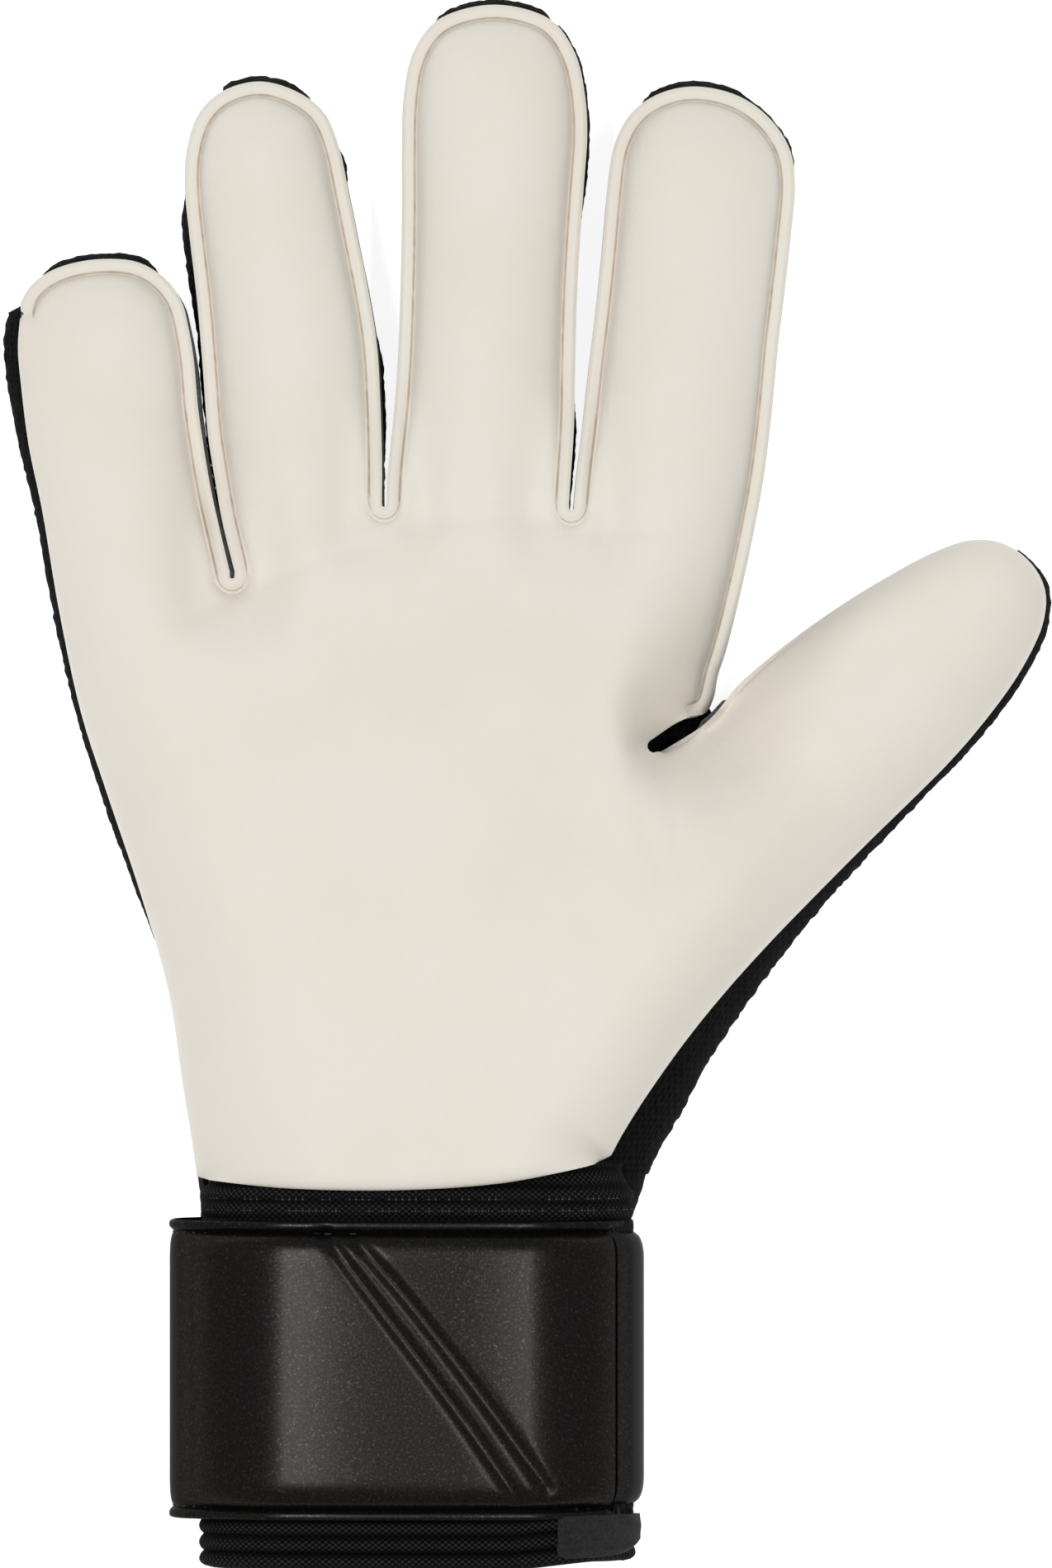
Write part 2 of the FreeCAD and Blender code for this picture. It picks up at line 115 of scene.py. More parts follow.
# Where each digit leaves the hand and where it bends, with the lengths over which it bends.
DIGITS = {
    "little": {"cut": 39.0, "root_run": 17.0, "mid": 67.5, "mid_run": 21.0},
    "ring": {"cut": 49.0, "root_run": 18.0, "mid": 79.0, "mid_run": 21.0},
    "middle": {"cut": 49.0, "root_run": 19.0, "mid": 83.0, "mid_run": 21.0},
    "index": {"cut": 48.5, "root_run": 18.0, "mid": 79.0, "mid_run": 21.0},
    "thumb": {"cut": 29.0, "root_run": 18.0, "mid": 65.0, "mid_run": 18.0},
}
THUMB_TURN = math.radians(46.0)
THUMB_RISE = math.tan(math.radians(8.0))
THUMB_BASE = 37.0
THUMB_MIDDLE = 31.6


# ---------------------------------------------------------------- sizes and colours

class GloveSizes(bpy.types.PropertyGroup):
    """Sizes of the glove's soft parts, in millimetres."""

    edge_step: bpy.props.FloatProperty(
        name="Edge step", description="Spacing of points along the latex edge", default=1.25, min=0.5)
    grid_pitch: bpy.props.FloatProperty(
        name="Grid pitch", description="Spacing of the mesh inside the latex", default=1.35, min=0.6)
    flange: bpy.props.FloatProperty(
        name="Flange", description="Width of the sewn flange outside the stitch line", default=2.7, min=1.0)
    pad_run: bpy.props.FloatProperty(
        name="Pad run", description="Distance over which a finger pad rises from its seam",
        default=12.5, min=4.0)
    groove: bpy.props.FloatProperty(
        name="Groove", description="Depth of the stitch groove", default=0.4, min=0.0)
    seam_height: bpy.props.FloatProperty(
        name="Seam height", description="Height of the finger seams", default=18.5)
    finger_height: bpy.props.FloatProperty(
        name="Finger height", description="Height of the finger pads", default=25.0)
    latex: bpy.props.FloatProperty(
        name="Latex", description="Thickness of the latex sheet", default=3.0, min=1.0)
    strap_width: bpy.props.FloatProperty(
        name="Strap width", description="Width of the wrist strap", default=51.8)
    strap_top: bpy.props.FloatProperty(
        name="Strap top", description="Place of the strap's upper edge along the glove", default=-75.7)


class GloveColours(bpy.types.PropertyGroup):
    """Colours of the glove's materials."""

    latex: bpy.props.FloatVectorProperty(
        name="Latex", description="Off-white foam latex", subtype="COLOR", size=3,
        default=(0.695, 0.660, 0.588))
    latex_warm: bpy.props.FloatVectorProperty(
        name="Latex shade", description="Warmer patches of the latex", subtype="COLOR", size=3,
        default=(0.665, 0.605, 0.53))
    stitch: bpy.props.FloatVectorProperty(
        name="Stitch line", description="Brown thread sunk in the latex", subtype="COLOR", size=3,
        default=(0.36, 0.29, 0.22))
    knit: bpy.props.FloatVectorProperty(
        name="Knit", description="Black knitted gussets and cuff", subtype="COLOR", size=3,
        default=(0.003, 0.003, 0.0032))
    strap: bpy.props.FloatVectorProperty(
        name="Strap", description="Satin black coated fabric", subtype="COLOR", size=3,
        default=(0.0145, 0.0138, 0.0136))


def sizes():
    """The scene's glove sizes."""
    return bpy.context.scene.glove_sizes


def colours():
    """The scene's glove colours."""
    return bpy.context.scene.glove_colours


# ---------------------------------------------------------------- outline

def spline(points, step):
    """Points at an even spacing along a smooth curve through the given ones."""
    pts = np.array(points, float)
    ends = np.vstack([2 * pts[0] - pts[1], pts, 2 * pts[-1] - pts[-2]])
    run = []
    for p0, p1, p2, p3 in zip(ends, ends[1:], ends[2:], ends[3:]):
        for t in np.linspace(0, 1, SPLINE_PARTS, endpoint=False):
            run.append(0.5 * (2 * p1 + (p2 - p0) * t + (2 * p0 - 5 * p1 + 4 * p2 - p3) * t * t
                              + (3 * p1 - p0 - 3 * p2 + p3) * t ** 3))
    run.append(pts[-1])
    run = np.array(run)
    length = np.concatenate([[0], np.cumsum(np.linalg.norm(np.diff(run, axis=0), axis=1))])
    count = max(2, int(round(length[-1] / step)) + 1)
    even = np.linspace(0, length[-1], count)
    return np.column_stack([np.interp(even, length, run[:, 0]), np.interp(even, length, run[:, 1])])


def web_arc(web):
    """The round bottom of the slit between two fingers, from the left finger's side to the right's."""
    angles = np.linspace(math.pi, 2 * math.pi, 11)[1:-1]
    x, y = web
    return np.column_stack([x + WEB_HALF * np.cos(angles), y + WEB_HALF + WEB_HALF * np.sin(angles)])


def digit_side(points, start_web, end_web):
    """A finger's edge with its ends brought down to the webs beside it."""
    pts = list(points)
    if start_web is not None:
        pts.insert(0, (start_web[0] + WEB_HALF, start_web[1] + WEB_HALF + WEB_RISE))
    if end_web is not None:
        pts.append((end_web[0] - WEB_HALF, end_web[1] + WEB_HALF + WEB_RISE))
    return pts


def glove_outline(step, tail=0.0):
    """The whole plan outline with the kind of edge at each point; a tail runs it on under the cuff."""
    runs = []
    if tail:
        runs.append(("roll", spline([(-56.6, -68.4 - tail), (-57.0, -70.6)], step)))
    runs.append(("roll", spline(PALM_SIDE, step)))
    little, ring, middle = WEBS["little"], WEBS["ring"], WEBS["middle"]
    for points, left, right in (
            (LITTLE_TIP, None, little), (RING, little, ring), (MIDDLE, ring, middle), (INDEX, middle, None)):
        runs.append(("flange", spline(digit_side(points, left, right), step)))
        if right is not None:
            runs.append(("flange", web_arc(right)))
    runs.append(("lump", spline(LUMP, step * 0.6)))
    runs.append(("pocket", spline(POCKET, step * 0.6)))
    x, y, radius = POCKET_END
    angles = np.radians(np.linspace(125, 305, 9))
    runs.append(("pocket", np.column_stack([x + radius * np.cos(angles), y + radius * np.sin(angles)])))
    runs.append(("roll", spline(THUMB, step)))
    if tail:
        runs.append(("roll", spline([(14.2, -66.6), (13.8, -64.6 - tail - 4)], step)))
        runs.append(("wrist", spline([(0.0, -76.0), (-40.0, -76.0)], 10)))
    else:
        runs.append(("wrist", spline(WRIST_EDGE, step)))
    points = np.vstack([run for _, run in runs])
    kinds = [kind for kind, run in runs for _ in run]
    return points, kinds


def distance(points, outline, mask):
    """Distance from each point to the outline's segments whose first point is in the mask."""
    a = outline[mask]
    b = np.roll(outline, -1, axis=0)[mask]
    ab = b - a
    length = np.maximum((ab ** 2).sum(1), 1e-9)
    best = np.empty(len(points))
    chunk = 4000
    for start in range(0, len(points), chunk):
        p = points[start:start + chunk, None, :]
        t = np.clip(((p - a) * ab).sum(2) / length, 0, 1)
        gap = p - (a + t[:, :, None] * ab)
        best[start:start + chunk] = np.sqrt((gap ** 2).sum(2).min(1))
    return best


def distance_to_line(points, line, step):
    """Distance from each point to a smooth open line through the given places."""
    run = spline(line, step)
    return distance(points, run, np.arange(len(run)) < len(run) - 1)


def smooth(low, high, value):
    """Rises from 0 to 1 between two values, or falls where the first is the higher."""
    t = np.clip((value - low) / (high - low), 0, 1)
    return t * t * (3 - 2 * t)


def swell(t, power):
    """Rises from 0 to 1 steeply and levels out, as a stuffed form does."""
    t = np.clip(t, 0, 1)
    return (1 - (1 - t) ** power) ** (1 / power)


def thumb_frame(x, y):
    """A place's distance along the thumb and across it."""
    along = x * math.sin(THUMB_TURN) + y * math.cos(THUMB_TURN)
    across = x * math.cos(THUMB_TURN) - y * math.sin(THUMB_TURN)
    return along, across


def thumb_share(x, y):
    """How far a place belongs to the thumb."""
    along, across = thumb_frame(x, y)
    return smooth(6, 46, along) * smooth(-6, 12, across)


def thumb_lift(x, y):
    """How far the thumb's slope lifts a place."""
    along, across = thumb_frame(x, y)
    return np.maximum(along - THUMB_BASE, 0) * THUMB_RISE * smooth(2, 12, across)


def edge_height(x, y, kind):
    """Height of the latex's lower edge."""
    s = sizes()
    if kind == "flange":
        rise = np.zeros_like(x)
        for web_x, web_y in WEBS.values():
            near = smooth(9.0, 2.0, np.abs(x - web_x)) * smooth(web_y + 26, web_y, y)
            rise = np.maximum(rise, 7.0 * near)
        crotch = smooth(40, 14, y) * smooth(20, 33, x)
        return s.seam_height + rise - 6.5 * crotch
    heel = smooth(4, -58, y) * smooth(-10, 16, x)
    side = smooth(-30, -68, y) * smooth(-40, -56, x)
    return s.seam_height + thumb_lift(x, y) + 13.0 * heel + 4.0 * side


def crown(x, y):
    """Height of the fully padded surface."""
    s = sizes()
    rows_y = np.array([-72.0, -55.0, -34.0, 11.0, 36.0, 52.0, 70.0, 140.0])
    rows_z = np.array([47.4, 47.2, 45.8, 36.5, 28.6, 26.2, s.finger_height, s.finger_height])
    span = np.linspace(-12, 12, 9)
    palm = np.mean([np.interp(y + d, rows_y, rows_z) for d in span], axis=0)
    hollow = 2.0 * np.exp(-(((x + 30) / 26) ** 2 + ((y - 4) / 24) ** 2))
    thumb = 30.5 + thumb_lift(x, y)
    share = thumb_share(x, y)
    return (palm - hollow) * (1 - share) + thumb * share


# Each fold's line, its depth and its half width.
CREASES = [
    ([(-60.8, 27.9), (-50.0, 33.2), (-38.0, 38.5), (-26.2, 41.8)], 0.45, 1.2),
    ([(-22.0, 44.6), (-12.0, 46.2), (0.0, 46.4), (6.0, 44.8)], 0.45, 1.2),
    ([(-21.0, 47.4), (-10.0, 48.8), (2.0, 48.6)], 0.35, 1.1),
    ([(9.0, 43.5), (20.0, 44.6), (31.0, 43.0)], 0.35, 1.2),
    ([(21.2, -1.4), (21.6, -7.0), (23.6, -15.8)], 0.5, 1.2),
    ([(24.4, -1.0), (25.4, -8.0), (28.0, -16.0)], 0.35, 1.2),
    ([(18.6, 1.4), (19.4, -5.0), (20.4, -11.0)], 0.35, 1.2),
]


def crease_depth(points):
    """Depth of the shallow folds where the fingers and the thumb meet the palm."""
    depth = np.zeros(len(points))
    for line, deep, half in CREASES:
        depth += deep * np.exp(-(distance_to_line(points, line, 1.5) / half) ** 2)
    return depth


def front_height(points, outline, kinds):
    """Height of the latex's outer surface over the plan, with its distance from the sewn edges."""
    s = sizes()
    kinds = np.array(kinds)
    x, y = points[:, 0], points[:, 1]
    to_flange = distance(points, outline, kinds == "flange")
    to_roll = distance(points, outline, kinds == "roll")
    to_pocket = distance(points, outline, kinds == "pocket")
    to_wrist = distance(points, outline, kinds == "wrist")
    thumb = thumb_share(x, y)
    along, across = thumb_frame(x, y)
    upper = thumb * smooth(34, 24, across) * smooth(80, 60, along)
    fold = smooth(30, 9, np.hypot(x - 25, y - 6))
    little_side = smooth(40, -20, y) * smooth(-22, -42, x)
    radius = 15.0 - 1.0 * thumb - 4.5 * upper - 6.0 * fold + 11.0 * little_side
    roll = swell(to_roll / radius, 2.1)
    beside = (x - POCKET_END[0]) * -0.545 + (y - POCKET_END[1]) * 0.839
    near_pocket = smooth(-1.5, 2.0, beside) * smooth(18, 27, x + 0.3 * y)
    pocket = 1 - (1 - swell(to_pocket / 12.0, 1.8)) * near_pocket
    roll = roll * pocket
    outer = smooth(52, 20, y) * smooth(6, 26, x)
    run = s.pad_run + 8.0 * outer
    inside = np.maximum(to_flange - s.flange, 0)
    crest = 1 - (1 - np.clip(inside / run, 0, 1)) ** 2
    steep = 0.27 * (1 - 0.6 * outer)
    pad = steep * (1 - np.exp(-inside / 0.8)) + (1 - steep) * crest
    share = to_roll / (to_roll + to_flange + 1e-6)
    base = edge_height(x, y, "roll") * (1 - share) + edge_height(x, y, "flange") * share
    tops = crown(x, y)
    height = base + (tops - base) * roll * pad
    lip = -0.55 * smooth(0.7, 0.0, to_flange)
    slope = -s.groove * smooth(0.9, s.flange, to_flange)
    recover = s.groove * smooth(s.flange, s.flange + 0.7, to_flange)
    height += (lip + slope + recover) * smooth(12.3, 14.5, y + 0.4 * to_flange)
    height -= 1.3 * (1 - swell(to_wrist / 3.0, 2.0)) * smooth(3, 12, to_roll)
    return height - crease_depth(points), to_flange


# ---------------------------------------------------------------- sheets over the plan

def cut(bm, faces, place, normal):
    """Cut the given faces along a plane."""
    edges = {e for f in faces for e in f.edges}
    corners = {v for f in faces for v in f.verts}
    bmesh.ops.bisect_plane(bm, geom=faces + list(edges) + list(corners), dist=1e-4,
                           plane_co=place, plane_no=normal)


def straddles(face, place):
    """Whether a face reaches over a place along the glove."""
    ys = [v.co.y for v in face.verts]
    return min(ys) < place < max(ys)


def ringed_sheet(points, insets, pitch):
    """A flat sheet from its outline, with rings of faces along the edge and an even grid inside."""
    plain_rings = 0.9
    first_cut = 0.37
    bm = bmesh.new()
    inner = bm.faces.layers.int.new("inside")
    ring = bm.verts.layers.int.new("ring")
    face = bm.faces.new([bm.verts.new((x, y, 0)) for x, y in points[::-1]])
    done = 0.0
    for number, inset in enumerate(insets):
        bmesh.ops.inset_region(bm, faces=[face], thickness=inset - done, depth=0,
                               use_even_offset=False, use_boundary=True)
        if inset > plain_rings:
            bmesh.ops.smooth_vert(bm, verts=list(face.verts), factor=0.5, use_axis_x=True, use_axis_y=True)
            bmesh.ops.remove_doubles(bm, verts=list(face.verts), dist=0.3)
            face = max(bm.faces, key=lambda f: len(f.verts))
        for vert in face.verts:
            vert[ring] = number + 1
        done = inset
    face[inner] = 1
    for axis, normal in ((0, (1, 0, 0)), (1, (0, 1, 0))):
        low, high = points[:, axis].min(), points[:, axis].max()
        for place in np.arange(low + pitch * first_cut, high, pitch):
            co = [0, 0, 0]
            co[axis] = place
            faces = [f for f in bm.faces if f[inner] == 1]
            if axis == 1:
                faces = [f for f in faces if straddles(f, place)]
            cut(bm, faces, co, normal)
    return bm


def finger_lanes():
    """A test for each finger: whether a place lies between the midlines of the slits beside it."""
    def lane(left, right, low):
        def test(x, y):
            return left(y) < x < right(y) and y > low
        return test

    def between(*middle):
        return lambda y: np.interp(y, [point[1] for point in middle], [point[0] for point in middle])

    slit1 = between(
        WEBS["little"], (-53.15, 45), (-54.6, 52), (-55.9, 60), (-57.1, 72), (-58.8, 84), (-61.0, 91))
    slit2 = between(WEBS["ring"], (-24.5, 56), (-24.15, 66), (-24.1, 76), (-24.9, 88), (-27.0, 120))
    slit3 = between(WEBS["middle"], (8.4, 55), (9.15, 63), (9.85, 74), (10.7, 85), (12.2, 104), (13.0, 113))
    return {
        "little": lane(lambda y: -200, slit1, 38),
        "ring": lane(slit1, slit2, 48),
        "middle": lane(slit2, slit3, 48),
        "index": lane(slit3, lambda y: 200, 48),
    }


def in_thumb(x, y):
    """Whether a place belongs to the thumb's bodies."""
    along, across = thumb_frame(x, y)
    return along > DIGITS["thumb"]["cut"] - 6 and across > 8 and y < 46


def body_planes(name):
    """The two planes across a digit: where its first piece starts, and where its second does."""
    digit = DIGITS[name]
    second = digit["mid"] - digit["mid_run"] / 2
    if name == "thumb":
        direction = Vector((math.sin(THUMB_TURN), math.cos(THUMB_TURN), 0))
        side = Vector((math.cos(THUMB_TURN), -math.sin(THUMB_TURN), 0)) * THUMB_MIDDLE
        return side + direction * digit["cut"], side + direction * second, direction
    return Vector((0, digit["cut"], 0)), Vector((0, second, 0)), Vector((0, 1, 0))


def split_bodies(bm):
    """Cut the sheet across every digit and mark each face with the number of its body."""
    body = bm.faces.layers.int.new("body")
    lanes = finger_lanes()
    lanes["thumb"] = in_thumb
    for number, (name, test) in enumerate(lanes.items()):
        first, second, direction = body_planes(name)
        for share, place in ((1, first), (2, second)):
            cut(bm, [f for f in bm.faces if test(*f.calc_center_median().xy)], place, direction)
            for f in bm.faces:
                mid = f.calc_center_median()
                if test(*mid.xy) and (mid - place).dot(direction) > 0:
                    f[body] = number * 2 + share


BODY_NAMES = ["hand"] + [f"{digit}_{part}" for digit in DIGITS for part in ("proximal", "distal")]


def follow(obj, name):
    """Attach a piece of the hand to the hand's body; any other piece only has its transform baked into its
    mesh.
    """
    if name == "hand":
        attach(obj, "hand")
        return
    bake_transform(obj)


def make_object(bm, name, *looks):
    """A finished mesh object in the frame's metres, with the named materials."""
    for vert in bm.verts:
        vert.co = (vert.co + SHIFT) * MM
    mesh = bpy.data.meshes.new(name)
    bm.to_mesh(mesh)
    bm.free()
    obj = bpy.data.objects.new(name, mesh)
    bpy.context.scene.collection.objects.link(obj)
    for look in looks:
        mesh.materials.append(material(look))
    mesh.shade_smooth()
    return obj


def face_away(bm, centre):
    """Turn a sheet's faces to point away from a place inside it."""
    bmesh.ops.recalc_face_normals(bm, faces=bm.faces)
    if sum(f.normal.dot(f.calc_center_median() - centre) * f.calc_area() for f in bm.faces) < 0:
        bmesh.ops.reverse_faces(bm, faces=bm.faces)


def thicken(bm, depth, dark_rim=None):
    """Give a sheet a wall on its inner side; its sharp rim takes the inner material only where asked."""
    sharp = 0.9
    whole = bm.verts.layers.float_vector.get("whole_normal")
    if whole is None:
        whole = bm.verts.layers.float_vector.new("whole_normal")
        bm.normal_update()
        for vert in bm.verts:
            vert[whole] = vert.normal
    outer = set(bm.faces)
    old = set(bm.verts)
    geom = list(bm.faces) + list(bm.edges) + list(bm.verts)
    bmesh.ops.extrude_face_region(bm, geom=geom, use_keep_orig=True)
    for vert in bm.verts:
        if vert not in old:
            vert.co -= vert[whole] * depth
    bmesh.ops.recalc_face_normals(bm, faces=bm.faces)
    for f in bm.faces:
        f.smooth = True
        rim = any(g in outer for e in f.edges for g in e.link_faces)
        if rim and f not in outer and dark_rim is not None:
            rim = not dark_rim(f.calc_center_median())
        f.material_index = 0 if f in outer or rim else 1
    for e in bm.edges:
        mixed = len(e.link_faces) == 2 and len({f in outer for f in e.link_faces}) == 2
        if mixed or (len(e.link_faces) == 2 and e.calc_face_angle(0) > sharp):
            e.smooth = False


def piece_of(bm, number):
    """A copy of the sheet with only one body's faces."""
    copy = bm.copy()
    body = copy.faces.layers.int["body"]
    gone = [f for f in copy.faces if f[body] != number]
    bmesh.ops.delete(copy, geom=gone, context="FACES")
    return copy


# ---------------------------------------------------------------- materials

class Paint:
    """A new material, with short ways to add nodes to it. Node scales are per metre, bump reaches metres."""

    def __init__(self, name, base, roughness):
        self.material = bpy.data.materials.new(name)
        self.material.use_nodes = True
        self.nodes = self.material.node_tree.nodes
        self.join = self.material.node_tree.links.new
        self.shader = self.nodes["Principled BSDF"]
        self.set("Base Color", (*base, 1))
        self.set("Roughness", roughness)

    def add(self, kind, **inputs):
        """A node of a kind, with its inputs set by name."""
        node = self.nodes.new("ShaderNode" + kind)
        for name, value in inputs.items():
            node.inputs[name].default_value = value
        return node

    def set(self, name, value):
        """Set an input of the main shader to a value."""
        self.shader.inputs[name].default_value = value

    def feed(self, name, source):
        """Join a socket to an input of the main shader."""
        self.join(source, self.shader.inputs[name])

    def over_object(self, node):
        """Lay a texture over the object's own coordinates."""
        coords = self.add("TexCoord")
        self.join(coords.outputs["Object"], node.inputs["Vector"])

    def noise(self, scale, detail, rough):
        """The value of a noise texture."""
        node = self.add("TexNoise", Scale=scale, Detail=detail, Roughness=rough)
        self.over_object(node)
        return node.outputs["Fac"]

    def ramp(self, source, *stops):
        """A colour from a value, by (place, colour) stops."""
        node = self.add("ValToRGB")
        while len(node.color_ramp.elements) < len(stops):
            node.color_ramp.elements.new(0.5)
        for element, (place, colour) in zip(node.color_ramp.elements, stops):
            element.position = place
            element.color = (*colour, 1)
        self.join(source, node.inputs["Fac"])
        return node.outputs["Color"]

    def bump(self, height, strength, reach, chain=None):
        """Bumps on the surface, over an earlier bump where one is given."""
        node = self.add("Bump", Strength=strength, Distance=reach)
        self.join(height, node.inputs["Height"])
        if chain is not None:
            self.join(chain, node.inputs["Normal"])
        self.feed("Normal", node.outputs["Normal"])
        return node.outputs["Normal"]

    def attribute(self, name, output="Fac"):
        """A value or a vector that the mesh carries."""
        node = self.add("Attribute")
        node.attribute_name = name
        return node.outputs[output]

    def mix(self, factor, first, second):
        """A blend of two colours."""
        node = self.add("Mix")
        node.data_type = "RGBA"
        if isinstance(factor, float):
            node.inputs["Factor"].default_value = factor
        else:
            self.join(factor, node.inputs["Factor"])
        for socket, value in (("A", first), ("B", second)):
            slot = [i for i in node.inputs if i.name == socket and i.type == "RGBA"][0]
            if isinstance(value, tuple):
                slot.default_value = (*value, 1)
            else:
                self.join(value, slot)
        return [o for o in node.outputs if o.type == "RGBA"][0]

    def calculate(self, operation, *values):
        """One Math node over sockets or numbers."""
        node = self.add("Math")
        node.operation = operation
        for socket, value in zip(node.inputs, values):
            if isinstance(value, float):
                socket.default_value = value
            else:
                self.join(value, socket)
        return node.outputs["Value"]


def latex_material():
    """Matte foam latex with faint warm patches, a brown sunk stitch line, and painted shade on the flange
    that darkens towards the stitch groove, with a darker band along its outer edge.
    """
    c = colours()
    latex = tuple(c.latex)
    paint = Paint("foam latex", latex, 0.72)
    patches = paint.noise(34, 3.0, 0.5)
    shade = paint.ramp(patches, (0.30, tuple(c.latex_warm)), (0.56, latex), (0.8, (0.70, 0.68, 0.625)))
    tint = paint.mix(0.45, latex, shade)
    # Painted shade: the flange attribute darkens the flange where it slopes into the stitch groove, and along
    # its outer edge.
    flange = paint.mix(paint.attribute("flange"), tint, (0.62, 0.56, 0.49))
    paint.feed("Base Color", paint.mix(paint.attribute("stitch"), flange, tuple(c.stitch)))
    paint.set("Subsurface Weight", 0.12)
    paint.set("Subsurface Radius", (0.004, 0.003, 0.002))
    paint.set("Specular IOR Level", 0.3)
    paint.set("Sheen Weight", 0.15)
    chain = paint.bump(paint.noise(1500, 3.0, 0.6), 0.18, 0.0002)
    paint.bump(paint.noise(160, 2.0, 0.5), 0.16, 0.0006, chain)
    return paint.material


def knit_material(name="black knit", scale=900.0):
    """Black knitted mesh: small open cells with a dull sheen."""
    knit = tuple(colours().knit)
    paint = Paint(name, knit, 0.85)
    cells = paint.add("TexVoronoi", Scale=scale, Randomness=0.35)
    paint.over_object(cells)
    depth = cells.outputs["Distance"]
    colour = paint.ramp(depth, (0.0, (0.002, 0.002, 0.002)), (0.35, knit), (0.8, (0.009, 0.009, 0.0093)))
    paint.feed("Base Color", colour)
    paint.set("Specular IOR Level", 0.03)
    chain = paint.bump(depth, 0.7, 0.0005)
    paint.bump(paint.noise(3500, 2.0, 0.7), 0.5, 0.0003, chain)
    return paint.material


def ribbed_material():
    """Ribbed elastic: fine knit columns over thick ribs, with painted shade that darkens the rib valleys and
    lightens the crests, and rows of small light picks.
    """
    column_pitch = 1.15
    row_pitch = 0.97
    paint = Paint("ribbed elastic", (0.006, 0.006, 0.006), 0.85)
    split = paint.add("SeparateXYZ")
    paint.join(paint.attribute("cloth", "Vector"), split.inputs["Vector"])
    round_wrist, along, crest = split.outputs
    calculate = paint.calculate

    def wave(source, period):
        return calculate("SINE", calculate("MULTIPLY", source, 2 * math.pi / period))

    columns = wave(round_wrist, column_pitch)
    rows = wave(along, row_pitch)
    cells = calculate("MULTIPLY_ADD", columns, rows, 1.0)
    # Painted shade and light: the knit cells are darker in the rib valleys and lighter on the crests.
    lit = calculate("MULTIPLY", calculate("MULTIPLY", cells, 0.5), crest)
    painted_rib_shade = paint.ramp(
        lit, (0.0, (0.0012, 0.0012, 0.0012)), (0.5, (0.008, 0.008, 0.008)), (1.0, (0.035, 0.035, 0.034)))
    picks = calculate("GREATER_THAN", columns, 0.75)
    patchy = calculate("GREATER_THAN", paint.noise(420, 2.0, 0.5), 0.5)
    first_row = calculate("COMPARE", along, -71.9, 0.12)
    second_row = calculate("COMPARE", along, -73.9, 0.08)
    rows_lit = calculate("ADD", first_row, second_row)
    share = calculate("MULTIPLY", calculate("MULTIPLY", picks, patchy), rows_lit)
    paint.feed("Base Color", paint.mix(share, painted_rib_shade, (0.16, 0.155, 0.15)))
    paint.set("Specular IOR Level", 0.03)
    paint.bump(cells, 0.7, 0.0003)
    return paint.material


def cloth_material(name, base, light, scale):
    """Brushed or towelling cloth with a fine nap."""
    paint = Paint(name, base, 0.92)
    nap = paint.noise(scale, 4.0, 0.75)
    paint.feed("Base Color", paint.ramp(nap, (0.3, base), (0.75, light)))
    paint.set("Sheen Weight", 0.05)
    paint.set("Specular IOR Level", 0.1)
    paint.bump(nap, 0.6, 0.0005)
    return paint.material


def strap_material():
    """Satin coated fabric with a fine sparkling grain and warm highlights."""
    strap = tuple(colours().strap)
    paint = Paint("satin strap", strap, 0.40)
    grain = paint.noise(2400, 2.0, 0.6)
    colour = paint.ramp(
        grain, (0.35, strap), (0.60, (0.0225, 0.0208, 0.0198)), (0.75, (0.06, 0.053, 0.047)))
    paint.feed("Base Color", colour)
    paint.set("Metallic", 0.85)
    paint.set("Specular Tint", (0.10, 0.10, 0.10, 1))
    rough = paint.add("MapRange", **{"To Min": 0.27, "To Max": 0.37})
    paint.join(grain, rough.inputs["Value"])
    paint.feed("Roughness", rough.outputs["Result"])
    chain = paint.bump(grain, 0.25, 0.00003)
    paint.bump(paint.noise(70, 2.0, 0.5), 0.10, 0.0003, chain)
    return paint.material


# Each cloth's name, its dark and its light colour, and the scale of its nap.
CLOTHS = {
    "lining": ("towelling lining", (0.03, 0.03, 0.032), (0.09, 0.09, 0.092), 900),
    "brushed": ("brushed black", (0.008, 0.008, 0.008), (0.03, 0.03, 0.03), 1600),
    "backhand": ("black backhand", (0.010, 0.010, 0.011), (0.022, 0.022, 0.023), 2200),
    "thread": ("black thread", (0.006, 0.006, 0.006), (0.05, 0.05, 0.05), 3000),
    "loop": ("loop tape", (0.008, 0.008, 0.008), (0.05, 0.05, 0.05), 2400),
}
MAKERS = {
    "latex": latex_material, "knit": knit_material, "strap": strap_material, "bandage": ribbed_material,
}
MATERIALS = {}


def material(name):
    """The named material, made when first asked for."""
    if name not in MATERIALS:
        if name in CLOTHS:
            MATERIALS[name] = cloth_material(*CLOTHS[name])
        elif name == "hook":
            MATERIALS[name] = knit_material("hook tape", 1500.0)
        else:
            MATERIALS[name] = MAKERS[name]()
    return MATERIALS[name]


# ---------------------------------------------------------------- latex front, knitted sides and padded back

LATEX_NODES = {"hand": ("palm_latex", "palm_lining")}
BACK_NODES = {"hand": ("backhand", "backhand_lining")}
KNIT_NODES = {"hand": (
    "ulnar_gusset", "little_ring_web", "ring_middle_web", "middle_index_web", "thumb_side_gusset",
    "thumb_web_gusset")}
for _name in BODY_NAMES[1:]:
    LATEX_NODES[_name] = (f"{_name}_latex",)
    BACK_NODES[_name] = (f"{_name}_back",)
    KNIT_NODES[_name] = ((f"{_name}_gusset",) if _name.endswith("distal")
                         else (f"{_name}_gusset_outer", f"{_name}_gusset_inner"))


def plan_of(bm):
    """The plan of a mesh's points."""
    return np.array([(v.co.x, v.co.y) for v in bm.verts])


def beside_slits(place):
    """Whether a place lies among the four fingers, where black knit hides the cut edge of the latex."""
    return place.y > 34 and not in_thumb(place.x, place.y)


